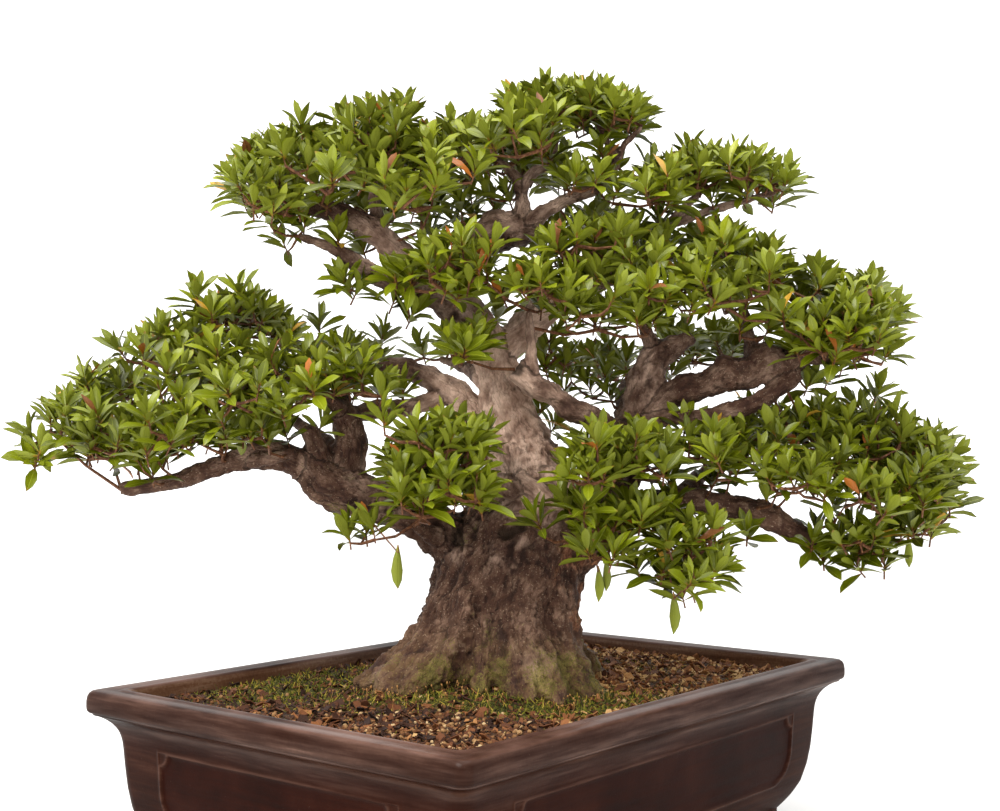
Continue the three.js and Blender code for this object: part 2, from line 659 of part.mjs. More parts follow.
/** A whorl set at a place, turned and shifted until it clears the other solids, or null. */
function placedWhorl(centre, facing, random, others) {
  for (let attempt = 0; attempt < TRIES; attempt += 1) {
    const leaves = drawnLeaves(random);
    const spin = 2 * Math.PI * random();
    const shift = new THREE.Vector3(random() - 0.5, random() - 0.5, random() - 0.3);
    const lean = new THREE.Vector3(random() - 0.5, random() - 0.5, 0).multiplyScalar(0.25 + 0.07 * attempt);
    const axis = facing.clone().add(lean).normalize();
    const place = centre.clone().addScaledVector(shift, 2.4 * attempt);
    const turn = new THREE.Quaternion().setFromUnitVectors(UP, axis);
    turn.multiply(new THREE.Quaternion().setFromAxisAngle(UP, spin));
    const set = new THREE.Matrix4().compose(place, turn, new THREE.Vector3(1, 1, 1));
    const clear = solidOf(whorl(leaves, CLEARANCE).applyMatrix4(set));
    if (!meets(clear, others)) {
      return { solid: solidOf(whorl(leaves, 0).applyMatrix4(set)), place, axis };
    }
  }
  return null;
}

/** The twig to a whorl from the first start that lets it clear the other solids, bowed to do so, or null. */
function placedTwig(starts, end, radii, random, limbs, others) {
  for (let attempt = 0; attempt < TRIES * starts.length; attempt += 1) {
    const start = starts[Math.floor(attempt / TRIES)];
    const length = start.distanceTo(end.place);
    const bow = new THREE.Vector3(random() - 0.5, random() - 0.5, random() - 0.6);
    const spread = length * (0.16 + 0.03 * (attempt % TRIES));
    const below = end.place.clone().addScaledVector(end.axis, -length / 3);
    const middle = start.clone().lerp(below, 0.6).addScaledVector(bow, spread);
    const places = [start, middle, end.place];
    const outer = twig([middle, end.place], ...radii, CLEARANCE);
    if (!meets(twig(places, ...radii, CLEARANCE), others) && !meets(outer, [limbs])) {
      const fork = middle.clone().lerp(end.place, 0.3);
      return { solid: twig(places, ...radii, 0), forks: [middle, fork] };
    }
  }
  return null;
}

/** A spray: a twig from a limb to its first whorl, with a fork to each further one. */
function spray(centres, random, limbs, others) {
  const parts = [];
  let forks = null;
  centres.forEach((values) => {
    const centre = new THREE.Vector3(...values);
    const starts = forks || nearestBuds(centre, 9);
    const facing = centre.clone().sub(starts[0]).normalize().multiplyScalar(0.6).add(UP).normalize();
    const end = placedWhorl(centre, facing, random, [...others, ...parts, limbs]);
    const radii = forks ? [0.8 * TWIG_ROOT, TWIG_TIP] : [TWIG_ROOT, TWIG_TIP];
    const stem = end && placedTwig(starts, end, radii, random, limbs, others);
    if (!stem) {
      throw new Error(`the ${end ? 'twig' : 'whorl'} at ${values} crosses its neighbours`);
    }
    forks = forks || stem.forks;
    parts.push(end.solid, stem.solid);
  });
  return largestBody(joined(parts).subtract(limbs));
}

// ---------------------------------------------------------------- the whole object

const wood = woodSolid(0);
const limbs = woodSolid(GAP);
const random = randomSource(SEED);

const tree = new THREE.Group();
tree.rotation.z = TREE_TURN;
tree.add(named('wood', wood, COLOURS.wood, 0.85));

const sprays = [];
SPRAYS.forEach((centres, i) => {
  const solid = spray(centres, random, limbs, sprays);
  sprays.push(solid);
  tree.add(named(`spray_${String(i + 1).padStart(2, '0')}`, solid, COLOURS.leaf, 0.45));
});

const turned = new THREE.Matrix4().makeRotationZ(TREE_TURN);
const hole = solidOf(geometryOf(rootBase(GAP)).applyMatrix4(turned));

const bonsai = new THREE.Group();
bonsai.add(named('pot', potSolid(), COLOURS.pot, 0.55));
DRAIN_PLACES.forEach((x, i) => bonsai.add(named(`drain_mesh_${i + 1}`, drainMesh(x), COLOURS.mesh, 0.6)));
bonsai.add(named('soil', soilSolid(hole), COLOURS.soil, 0.95));
bonsai.add(tree);

// The origin stands under the middle of the whole object's box.
const box = new THREE.Box3().setFromObject(bonsai, true);
bonsai.position.set(-(box.min.x + box.max.x) / 2, -(box.min.y + box.max.y) / 2, -box.min.z);

export default bonsai;
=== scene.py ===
"""Satsuki azalea bonsai in an unglazed clay pot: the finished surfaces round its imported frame.

Blender works in metres. The tree's tables are in millimetres, in a frame of the tree's own: its front faces
-Y and its origin is on the ground under the middle of the pot. TREE_FROM_MM turns them into scene places.
"""

import math
import random

import bmesh
import bpy
import numpy as np
from mathutils import Matrix, Vector, geometry, kdtree, noise


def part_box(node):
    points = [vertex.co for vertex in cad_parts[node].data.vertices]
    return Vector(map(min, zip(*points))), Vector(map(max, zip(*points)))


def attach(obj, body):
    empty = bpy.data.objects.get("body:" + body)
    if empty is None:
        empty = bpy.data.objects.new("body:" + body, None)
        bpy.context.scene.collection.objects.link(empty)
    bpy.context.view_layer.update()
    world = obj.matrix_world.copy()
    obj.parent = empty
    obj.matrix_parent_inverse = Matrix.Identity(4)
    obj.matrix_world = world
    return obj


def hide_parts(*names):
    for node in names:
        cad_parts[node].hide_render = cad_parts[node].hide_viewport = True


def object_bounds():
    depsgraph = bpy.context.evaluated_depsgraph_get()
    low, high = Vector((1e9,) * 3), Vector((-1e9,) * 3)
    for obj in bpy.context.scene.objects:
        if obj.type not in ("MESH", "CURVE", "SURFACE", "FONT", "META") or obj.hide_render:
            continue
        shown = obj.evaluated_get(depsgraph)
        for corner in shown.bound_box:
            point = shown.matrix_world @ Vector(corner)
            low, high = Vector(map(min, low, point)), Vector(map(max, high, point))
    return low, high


bl_info = {
    "name": "Azalea Bonsai",
    "version": (1, 0, 0),
    "blender": (4, 5, 0),
    "location": "View3D > Sidebar > Bonsai",
    "description": "Builds the pot, soil, wood and leaves of an azalea bonsai",
    "category": "Add Mesh",
}

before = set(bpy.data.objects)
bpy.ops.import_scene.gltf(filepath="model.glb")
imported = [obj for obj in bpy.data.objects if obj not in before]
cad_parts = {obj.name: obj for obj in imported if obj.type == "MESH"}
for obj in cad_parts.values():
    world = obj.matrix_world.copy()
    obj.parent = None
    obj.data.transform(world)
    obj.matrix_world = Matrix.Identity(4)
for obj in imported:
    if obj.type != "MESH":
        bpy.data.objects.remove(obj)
CAD_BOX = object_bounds()

MM = 0.001
BODY = "root"

# ------------------------------------------------------------------ where the tree stands

POT_LOW, POT_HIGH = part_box("pot")
POT_MIDDLE = (POT_LOW + POT_HIGH) / 2
POT_AXIS = POT_MIDDLE.xy.to_3d()
POT_LENGTH = POT_HIGH.x - POT_LOW.x
POT_WIDTH = POT_HIGH.y - POT_LOW.y
TREE_TURN = math.radians(-50.9)  # the tree's front seen against the pot's long side
TREE = Matrix.Translation((POT_MIDDLE.x, POT_MIDDLE.y, 0)) @ Matrix.Rotation(TREE_TURN, 4, "Z")
TREE_FROM_MM = TREE @ Matrix.Scale(MM, 4)


def seen_from_front(x, y):
    """The place in the tree's millimetres of a place measured from the pot's middle."""
    return Matrix.Rotation(-TREE_TURN, 2) @ Vector((x, y)) / MM


# ------------------------------------------------------------------ the tree's routes

# Each route is a list of (x, y, z, radius).
TRUNK = [
    (2, -8, 100, 66), (4, -8, 148, 76), (6, -7, 178, 68), (10, -6, 208, 61), (19, -6, 240, 60),
    (30, -5, 272, 50), (38, -4, 292, 30),
]

ROOTS = [
    # left, left front, front, right front
    [(-22, -14, 186, 36), (-60, -24, 160, 22), (-88, -30, 142, 16), (-112, -32, 122, 9)],
    [(-28, -36, 172, 30), (-60, -66, 149, 18), (-82, -88, 122, 9)],
    [(14, -42, 182, 30), (24, -80, 150, 18), (30, -104, 122, 9)],
    [(38, -30, 182, 30), (64, -58, 152, 20), (92, -80, 122, 9)],
    # right, right back, back, left back
    [(42, -2, 180, 28), (80, 10, 149, 15), (108, 20, 122, 8)],
    [(32, 26, 178, 28), (64, 58, 150, 16), (84, 80, 122, 8)],
    [(0, 34, 178, 30), (-8, 80, 150, 17), (-14, 104, 122, 8)],
    [(-32, 20, 178, 28), (-72, 46, 150, 16), (-98, 62, 122, 8)],
]

THICK_LIMBS = [
    # low left limb, which sweeps down and out
    [(20, -6, 242, 34), (-17, -7, 250, 28), (-44, -9, 270, 21), (-75, -14, 287, 18), (-110, -19, 297, 20),
    (-138, -18, 309, 18), (-151, -14, 327, 13)],
    # its riser
    [(-122, -14, 298, 17), (-118, -12, 322, 15), (-117, -8, 345, 14), (-122, -4, 365, 12),
     (-132, 0, 384, 7)],
    # limb behind it to the left
    [(24, 12, 320, 21), (-4, 26, 349, 17), (-30, 42, 382, 12), (-60, 54, 400, 10), (-98, 60, 410, 8),
    (-140, 60, 420, 6), (-186, 56, 431, 4)],
    # leader
    [(40, -5, 262, 44), (40, -3, 300, 34), (26, 0, 338, 26), (14, 3, 370, 21), (6, 5, 398, 18),
    (-3, 5, 425, 17), (-14, 4, 444, 16)],
    # upper left limb
    [(-3, 5, 425, 17), (-28, 1, 456, 18), (-54, -4, 475, 15), (-72, -8, 494, 13), (-90, -10, 512, 11),
    (-118, -8, 529, 10), (-145, -4, 538, 8), (-167, 0, 541, 5)],
    # knobbly limb to the top
    [(-6, 7, 434, 13), (-24, 13, 462, 11), (-25, 17, 490, 12), (-12, 17, 511, 15), (10, 14, 521, 17),
    (32, 9, 520, 13)],
    # upper right limb
    [(0, 6, 405, 14), (24, 10, 434, 14), (49, 6, 455, 14), (73, -2, 474, 13), (94, -8, 488, 11),
    (111, -12, 499, 8)],
    # right fork
    [(45, -8, 245, 36), (72, -10, 270, 27), (100, -8, 304, 20), (120, -2, 344, 17), (131, 5, 384, 17),
    (138, 8, 410, 14), (171, 8, 431, 6)],
    # heavy limb to the right
    [(118, -3, 350, 14), (143, -7, 373, 10), (160, -12, 385, 13), (178, -15, 388, 11), (196, -16, 398, 15),
    (214, -16, 399, 13), (230, -14, 409, 16), (248, -11, 408, 12), (262, -8, 416, 12), (280, -5, 414, 8),
    (302, 0, 420, 5)],
    # limb to the front left
    [(116, -8, 340, 13), (88, -32, 360, 9), (66, -44, 368, 10), (48, -48, 382, 8.5), (36, -50, 386, 10),
    (20, -52, 400, 8)],
    # low right limb
    [(50, -14, 238, 28), (86, -20, 268, 18), (122, -26, 286, 13), (160, -28, 294, 11), (197, -24, 288, 11),
    (228, -18, 281, 11), (251, -12, 268, 10), (277, -6, 257, 7), (308, 0, 253, 4)],
]

THIN_LIMBS = [
    # low left: outer limb, dead stub, cut stub
    [(-146, -15, 318, 14), (-178, -20, 331, 12), (-206, -24, 327, 10), (-234, -26, 318, 8),
    (-265, -24, 308, 7), (-305, -18, 302, 6)],
    [(-200, -26, 326, 7), (-181, -36, 328, 5.5), (-157, -42, 333, 4.5)],
    [(-138, -16, 322, 11), (-145, -22, 342, 9), (-151, -26, 354, 7)],
    # left: lower limb behind, and a twig of the riser
    [(-40, 46, 381, 9), (-70, 38, 371, 8), (-97, 22, 369, 8), (-118, 2, 364, 8)],
    [(-121, -4, 364, 8), (-133, -30, 378, 5), (-150, -52, 386, 3.5)],
    # upper left: dark lower limb, riser
    [(-46, -2, 463, 10), (-80, -14, 474, 9), (-107, -20, 487, 8), (-129, -18, 502, 6), (-160, -12, 513, 3)],
    [(-91, -8, 512, 9), (-96, 2, 535, 6.5), (-99, 10, 557, 5), (-101, 14, 584, 3.5)],
    # top: riser, right limb and its fork, knob, cut stub, left twig
    [(26, 11, 514, 11), (27, 7, 540, 7), (22, 5, 564, 5), (8, 8, 579, 3.5), (-12, 12, 590, 2.5)],
    [(26, 9, 518, 11), (44, 1, 534, 7), (62, -5, 544, 6), (84, -8, 552, 5.5), (100, -10, 565, 5),
    (112, -8, 590, 3.5), (128, -2, 607, 2.5)],
    [(106, -10, 576, 4), (88, -20, 608, 2.5)],
    [(25, 6, 550, 6), (35, 2, 568, 5), (49, 0, 577, 5), (52, 0, 594, 6), (55, 0, 612, 3)],
    [(73, -7, 546, 4.5), (78, 0, 575, 3.5)],
    # right: dark limb under the upper right limb, its risers
    [(60, 0, 463, 8), (86, -6, 470, 6), (128, -12, 491, 5), (190, 0, 508, 3)],
    [(126, -12, 489, 5), (140, -6, 514, 4.5), (181, 4, 556, 3.5)],
    [(148, -3, 522, 4.5), (176, 6, 534, 4), (204, 10, 543, 4), (243, 12, 554, 3)],
    [(141, 8, 413, 9), (131, 4, 436, 6), (126, 0, 460, 4)],
    # right: limb below the heavy one, risers
    [(125, -8, 360, 8), (150, -20, 361, 6), (178, -27, 363, 7), (205, -29, 369, 8), (231, -24, 381, 8),
    (254, -13, 398, 8)],
    [(220, -15, 402, 10), (217, -6, 426, 6), (212, 4, 462, 4)],
    # front left: upright twig
    [(33, -50, 386, 7), (33, -50, 420, 5), (31, -47, 448, 3.5)],
    # low front twigs
    [(-40, -12, 262, 12), (-50, -44, 268, 7), (-60, -70, 276, 4)],
    [(30, -20, 300, 14), (12, -52, 305, 7), (-6, -76, 312, 4)],
    [(70, -14, 262, 14), (72, -50, 264, 7), (70, -76, 268, 4)],
    [(108, -10, 310, 12), (100, -44, 318, 6), (96, -68, 324, 4)],
    # torn pale wood in the fork
    [(22, -34, 312, 8), (38, -46, 302, 8), (54, -46, 292, 7), (66, -38, 296, 7), (80, -28, 304, 6)],
    [(46, -34, 318, 7), (62, -42, 306, 6), (76, -40, 290, 5)],
    # limbs to the back
    [(16, 2, 362, 16), (0, 50, 388, 9), (-22, 112, 408, 6), (-48, 168, 420, 3.5)],
    [(122, 2, 350, 14), (118, 60, 382, 8), (136, 138, 408, 4.5)],
    [(8, 16, 520, 11), (14, 66, 538, 6), (0, 128, 556, 3.5)],
    [(-80, -6, 500, 10), (-98, 48, 522, 6), (-108, 104, 544, 3.5)],
    [(76, 0, 474, 10), (100, 52, 494, 6), (134, 112, 514, 3.5)],
    [(150, -24, 292, 10), (182, 38, 312, 6), (216, 100, 334, 3.5)],
    [(-108, -14, 300, 14), (-134, 40, 334, 8), (-196, 108, 370, 4)],
]

# Whorl centres of each spray, as (x, y, z).
SPRAYS = [
    # low left pad
    [(-365, -15, 364), (-322, -50, 335)],
    [(-348, 42, 388), (-290, 8, 424)],
    [(-270, -65, 350)],
    [(-250, 12, 461), (-205, 42, 460)],
    [(-240, -38, 388)],
    [(-171, -80, 378), (-186, -30, 408)],
    [(-150, 50, 446), (-95, 55, 436)],
    [(-106, -50, 396)],
    [(-215, -58, 345), (-272, -48, 318)],
    # upper left pad
    [(-218, 0, 561), (-180, -40, 535)],
    [(-198, 22, 592), (-160, 2, 609)],
    [(-130, -58, 560)],
    [(-126, 20, 618)],
    [(-85, -38, 590), (-70, 2, 623)],
    [(-44, -70, 543), (-48, -16, 578)],
    [(-178, 15, 514), (-119, -38, 474)],
    [(-62, -70, 475), (-28, -62, 423)],
    # top pad
    [(-33, 0, 608), (-4, 42, 590)],
    [(21, -8, 625), (6, -50, 590)],
    [(46, 16, 642)],
    [(84, 0, 634), (122, -12, 618)],
    [(104, -38, 548)],
    # upper right pad
    [(134, -8, 574), (170, 16, 589)],
    [(205, -10, 581), (250, 6, 568)],
    # middle right pads
    [(84, -56, 508)],
    [(-4, -76, 482), (40, -82, 468)],
    [(92, -72, 445), (131, -66, 470)],
    [(174, -16, 510), (206, 18, 514)],
    [(180, -55, 462)],
    [(248, 0, 482), (252, -48, 436)],
    [(304, 16, 470), (341, 0, 452)],
    [(330, -22, 418), (292, -52, 424)],
    # low right pad
    [(160, -56, 343), (206, -18, 347)],
    [(231, -62, 315), (258, 20, 356)],
    [(302, 0, 353), (332, 26, 386)],
    [(349, 5, 345), (386, 0, 328)],
    [(288, -56, 305), (340, -36, 308)],
    [(388, 18, 288), (308, -15, 256)],
    # front
    [(-38, -100, 351), (-78, -84, 330)],
    [(-4, -92, 348), (-14, -104, 309)],
    [(-54, -100, 292), (-92, -78, 278)],
    [(72, -92, 332), (118, -76, 335)],
    [(78, -92, 273), (36, -104, 282)],
    [(138, -76, 280), (158, -82, 240)],
    # back
    [(-68, 170, 430)],
    [(18, 186, 424), (-14, 132, 456)],
    [(110, 152, 432), (156, 166, 422)],
    [(192, 122, 430)],
    [(-20, 148, 576), (22, 128, 592)],
    [(-122, 126, 560), (-84, 94, 592)],
    [(130, 138, 538)],
    [(224, 120, 356)],
    [(-212, 128, 396)],
]


# ------------------------------------------------------------------ shader expressions


class Value:
    """One output of a shader node. Arithmetic on it adds Math nodes."""

    def __init__(self, finish, socket):
        self.finish = finish
        self.socket = socket

    def math(self, operation, *others):
        return self.finish.node("Math", {"operation": operation}, dict(enumerate((self, *others))))

    def __add__(self, other):
        return self.math("ADD", other)

    __radd__ = __add__

    def __sub__(self, other):
        return self.math("SUBTRACT", other)

    def __rsub__(self, other):
        return self.finish.node("Math", {"operation": "SUBTRACT"}, {0: other, 1: self})

    def __mul__(self, other):
        return self.math("MULTIPLY", other)

    __rmul__ = __mul__

    def above(self, low, high):
        """0 below low, 1 above high, and a smooth step between; high may be the smaller one."""
        step = {"interpolation_type": "SMOOTHSTEP"}
        return self.finish.node("MapRange", step, {"Value": self, "From Min": low, "From Max": high})


class Finish:
    """A material, its Principled shader and the nodes behind it. Its where is the place on the object."""

    def __init__(self, name, **uniform):
        self.material = bpy.data.materials.new(name)
        self.material.use_nodes = True
        self.tree = self.material.node_tree
        self.tree.nodes.clear()
        self.shader = self.tree.nodes.new("ShaderNodeBsdfPrincipled")
        output = self.tree.nodes.new("ShaderNodeOutputMaterial")
        self.tree.links.new(self.shader.outputs["BSDF"], output.inputs["Surface"])
        for socket, value in uniform.items():
            self.shader.inputs[socket.replace("_", " ")].default_value = value
        self.where = self.node("TexCoord", output="Object")

    def give(self, socket, value):
        """Links a socket to a value, or sets it to a plain number or colour."""
        if isinstance(value, Value):
            self.tree.links.new(value.socket, socket)
        else:
            socket.default_value = value

    def node(self, kind, settings=None, inputs=None, output=0):
        """Adds a node, with its settings first and then its sockets. Returns one of its outputs."""
        made = self.tree.nodes.new("ShaderNode" + kind)
        for name, value in (settings or {}).items():
            if name == "stops":
                while len(made.color_ramp.elements) < len(value):
                    made.color_ramp.elements.new(1.0)
                for element, (position, colour) in zip(made.color_ramp.elements, value):
                    element.position = position
                    element.color = (*colour, 1.0)
            else:
                setattr(made, name, value)
        for name, value in (inputs or {}).items():
            self.give(made.inputs[name], value)
        return Value(self, made.outputs[output])

    def attribute(self, name, output="Vector"):
        return self.node("Attribute", {"attribute_name": name}, output=output)

    def parts(self, vector):
        """The three numbers of a vector."""
        split = self.node("SeparateXYZ", inputs={0: vector}).socket.node
        return [Value(self, output) for output in split.outputs]

    def scaled(self, vector, factors):
        return self.node("VectorMath", {"operation": "MULTIPLY"}, {0: vector, 1: factors})

    def warped(self, vector, scale, amount):
        """A vector pushed about by a coloured noise."""
        push = self.node("TexNoise", inputs={"Vector": vector, "Scale": scale, "Detail": 2.0}, output=1)
        push = self.node("VectorMath", {"operation": "SUBTRACT"}, {0: push, 1: (0.5, 0.5, 0.5)})
        push = self.node("VectorMath", {"operation": "SCALE"}, {0: push, "Scale": amount})
        return self.node("VectorMath", {"operation": "ADD"}, {0: vector, 1: push})

    def noise(self, vector, scale, detail=3.0, roughness=0.55):
        inputs = {"Vector": vector, "Scale": scale, "Detail": detail, "Roughness": roughness}
        return self.node("TexNoise", inputs=inputs)

    def cells(self, vector, scale, feature="F1"):
        return self.node("TexVoronoi", {"feature": feature}, {"Vector": vector, "Scale": scale}, "Distance")

    def mix(self, first, second, factor):
        """A mix of two colours, which sit on the node's sixth and seventh sockets."""
        wide = [c if isinstance(c, Value) else (*c, 1.0) for c in (first, second)]
        return self.node("Mix", {"data_type": "RGBA"}, {0: factor, 6: wide[0], 7: wide[1]}, output=2)

    def ramp(self, factor, stops):
        return self.node("ValToRGB", {"stops": stops}, {0: factor})

    def bump(self, height, distance, strength=1.0, normal=None):
        inputs = {"Height": height, "Distance": distance, "Strength": strength}
        if normal:
            inputs["Normal"] = normal
        return self.node("Bump", inputs=inputs)

    def done(self, **varying):
        """Links what changes over the surface to the shader and returns the material."""
        for socket, value in varying.items():
            self.give(self.shader.inputs[socket.replace("_", " ")], value)
        return self.material


# ------------------------------------------------------------------ mesh helpers


def placed(bm, name, *materials):
    """Makes an object of a bmesh and puts it in the scene."""
    mesh = bpy.data.meshes.new(name)
    bm.to_mesh(mesh)
    bm.free()
    for material in materials:
        mesh.materials.append(material)
    piece = bpy.data.objects.new(name, mesh)
    bpy.context.scene.collection.objects.link(piece)
    return piece


def finished(bm, name, materials, replaced=()):
    """Makes an object of a bmesh that rides on the pot's body and stands for CAD nodes."""
    piece = placed(bm, name, *materials)
    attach(piece, BODY)
    if replaced:
        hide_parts(*replaced)


def clamped(value):
    """A number kept between 0 and 1."""
    return min(1, max(0, value))


def hump(share):
    """1 where share is 0, falling smoothly to nothing on either side of it."""
    return math.exp(-(share ** 2))


def smoothed(bm, sharp=None):
    """Shades a bmesh smooth, with hard edges where its faces meet at more than some degrees."""
    for face in bm.faces:
        face.smooth = True
    if sharp:
        for edge in bm.edges:
            edge.smooth = edge.calc_face_angle(math.pi) < math.radians(sharp)


def parts_of(geom, kind):
    """The vertices, edges or faces among what an operator made."""
    return [part for part in geom if isinstance(part, kind)]


def pulled(bm, faces):
    """Extrudes faces and returns the new faces and vertices."""
    made = bmesh.ops.extrude_face_region(bm, geom=faces)["geom"]
    return parts_of(made, bmesh.types.BMFace), parts_of(made, bmesh.types.BMVert)


def thickened(bm, thickness):
    """Gives a sheet its thickness, upwards, and closes it."""
    raised = pulled(bm, bm.faces[:])[1]
    bmesh.ops.translate(bm, vec=(0, 0, thickness), verts=raised)
    bmesh.ops.recalc_face_normals(bm, faces=bm.faces)
    return bm


def smooth_route(route, spacing):
    """Places and radii at about an even spacing on the smooth curve through a route's places."""
    points = [Vector(row[:3]) for row in route]
    runs = [(b - a).length for a, b in zip(points, points[1:])]
    last = len(points) - 1
    slopes = []
    for i in range(last + 1):
        low, high = max(i - 1, 0), min(i + 1, last)
        slopes.append((points[high] - points[low]) / sum(runs[low:high]))
    steps = []
    for i, run in enumerate(runs):
        count = max(2, round(run / spacing))
        handles = (points[i] + slopes[i] * run / 3, points[i + 1] - slopes[i + 1] * run / 3)
        curve = geometry.interpolate_bezier(points[i], *handles, points[i + 1], count + 1)
        for k in range(count + (i == last - 1)):
            share = k / count
            steps.append((curve[k], route[i][3] * (1 - share) + route[i + 1][3] * share))
    return steps


def ahead_at(steps, i):
    """The direction of a route at one of its steps."""
    low, high = max(i - 1, 0), min(i + 1, len(steps) - 1)
    return (steps[high][0] - steps[low][0]).normalized()


def tube(steps, sides):
    """A closed tube through steps of (place, radius), as a bmesh."""
    bm = bmesh.new()
    point, radius = steps[0]
    ahead = ahead_at(steps, 0)
    start = Matrix.Translation(point) @ turned_to(ahead)
    bmesh.ops.create_circle(bm, cap_ends=True, segments=sides, radius=radius, matrix=start)
    end = bm.faces[:]
    for i, (next_point, next_radius) in enumerate(steps[1:], 1):
        end, ring = pulled(bm, end)
        next_ahead = ahead_at(steps, i)
        turn = ahead.rotation_difference(next_ahead).to_matrix().to_4x4()
        move = Matrix.Translation(next_point) @ turn @ Matrix.Scale(next_radius / radius, 4)
        bmesh.ops.transform(bm, matrix=move @ Matrix.Translation(-point), verts=ring)
        point, radius, ahead = next_point, next_radius, next_ahead
    bmesh.ops.recalc_face_normals(bm, faces=bm.faces)
    return bm


class Stamp:
    """A small mesh that is copied many times into a larger one, each copy with its own tint."""

    def __init__(self, name, bm, sharp=50):
        smoothed(bm, sharp)
        self.mesh = bpy.data.meshes.new(name)
        bm.to_mesh(self.mesh)
        bm.free()
        self.mesh.attributes.new("tint", "FLOAT", "POINT")
        self.places = np.ones((len(self.mesh.vertices), 4))
        self.places[:, :3] = [vertex.co for vertex in self.mesh.vertices]

    def press(self, bm, matrix, tint=0.0, material=0):
        """Adds a copy to a bmesh, set by a matrix."""
        moved = self.places @ np.array(matrix).T
        self.mesh.vertices.foreach_set("co", moved[:, :3].ravel())
        self.mesh.attributes["tint"].data.foreach_set("value", np.full(len(moved), tint))
        self.mesh.polygons.foreach_set("material_index", [material] * len(self.mesh.polygons))
        bm.from_mesh(self.mesh)


def turned_to(direction, spin=0.0):
    """A turn that sets +Z along a direction, after a spin about it."""
    return direction.to_track_quat("Z", "Y").to_matrix().to_4x4() @ Matrix.Rotation(spin, 4, "Z")


# ------------------------------------------------------------------ pot

FOOT_HEIGHT = 0.017
FLOOR_TOP = 0.029
PANEL_HALVES = (POT_WIDTH / 2 - 0.073, POT_LENGTH / 2 - 0.071)  # of the short walls and the long ones
PANEL_LOW = 0.048
PANEL_HIGH = 0.1065
PANEL_NOTCH = 0.010  # the stepped upper corners
PANEL_ROUND = 0.026  # the round lower corners
PANEL_DEPTH = 0.0011
PANEL_SLOPE = 0.0040  # how wide the slope down into it is
BEAD_HEIGHT = 0.0009
BEAD_WIDTH = 0.0012
BEAD_INSIDE = 0.0002  # how far inside the panel's outline its bead runs
DRAIN_RADIUS = 0.012
DRAIN_PLACES = (-0.11, 0.11)

# The pot's outside from its floor to its rim, and its inside down again: (inset, height, corner radius).
POT_FOOT_ROWS = [
    (0.0460, 0.0170, 0.026), (0.0425, 0.0192, 0.025), (0.0390, 0.0217, 0.024), (0.0368, 0.0245, 0.023),
    (0.0345, 0.0278, 0.022), (0.0322, 0.0313, 0.021), (0.0302, 0.0350, 0.020), (0.0283, 0.0390, 0.019),
    (0.0265, 0.0430, 0.018),
]
POT_RIM_ROWS = [
    (0.0178, 0.1085, 0.0155), (0.0172, 0.1122, 0.015), (0.0162, 0.1160, 0.0145), (0.0147, 0.1195, 0.0135),
    (0.0126, 0.1228, 0.0125), (0.0098, 0.1256, 0.0115), (0.0070, 0.1276, 0.011), (0.0047, 0.1287, 0.0105),
    (0.0034, 0.1291, 0.010), (0.0031, 0.1299, 0.010), (0.0025, 0.1305, 0.0095), (0.0012, 0.1312, 0.009),
    (0.0003, 0.1327, 0.009), (0.0000, 0.1352, 0.009), (0.0000, 0.1400, 0.009), (0.0005, 0.1436, 0.009),
    (0.0014, 0.1459, 0.009), (0.0030, 0.1474, 0.0085), (0.0052, 0.1479, 0.008), (0.0120, 0.1476, 0.008),
    (0.0165, 0.1470, 0.008), (0.0180, 0.1470, 0.008), (0.0196, 0.1477, 0.008), (0.0216, 0.1480, 0.009),
    (0.0236, 0.1475, 0.010), (0.0249, 0.1459, 0.011), (0.0255, 0.1425, 0.012), (0.0262, 0.1370, 0.012),
    (0.0290, 0.1000, 0.014), (0.0330, 0.0500, 0.016), (0.0380, 0.0350, 0.018), (0.0460, FLOOR_TOP, 0.020),
]

# How the wall leans between the two: (height, inset).
WALL_LEAN = [
    (0.043, 0.0265), (0.058, 0.0226), (0.073, 0.0204), (0.088, 0.0192), (0.103, 0.0183), (0.1085, 0.0178),
]

# Heights of its rows, closer together at the edges of the panel.
WALL_HEIGHTS = [
    0.0450, 0.0462, 0.0472, 0.0482, 0.0492, 0.0503, 0.0520, 0.0545,
    *(0.0572 + 0.0029 * i for i in range(14)),
    0.0968, 0.0984, 0.1000, 0.1016, 0.1030, 0.1042, 0.1051, 0.1060, 0.1068, 0.1077,
]

# How far inside the end of a panel the steps along a wall lie.
PANEL_END = [
    0.030, 0.0255, 0.0215, 0.018, 0.015, 0.0125, 0.0105, 0.009, 0.0072, 0.0054, 0.0038, 0.0025, 0.0014,
    0.0004, -0.0006, -0.0017, -0.004,
]
WALL_STEPS = 12  # wide steps between those of its two ends
CORNER_STEPS = 8
POT_SHARP = 48  # degrees between two faces that meet in a hard edge


def leaning(height):
    """The wall's inset at a height over the panels."""
    for (low, a), (high, b) in zip(WALL_LEAN, WALL_LEAN[1:]):
        if height <= high:
            share = (height - low) / (high - low)
            return a + (b - a) * share
    return WALL_LEAN[-1][1]


def wall_rows():
    """The wall's rows, in the columns of the profile."""
    return [(leaning(height), height, 0.018 - 0.04 * (height - WALL_HEIGHTS[0])) for height in WALL_HEIGHTS]


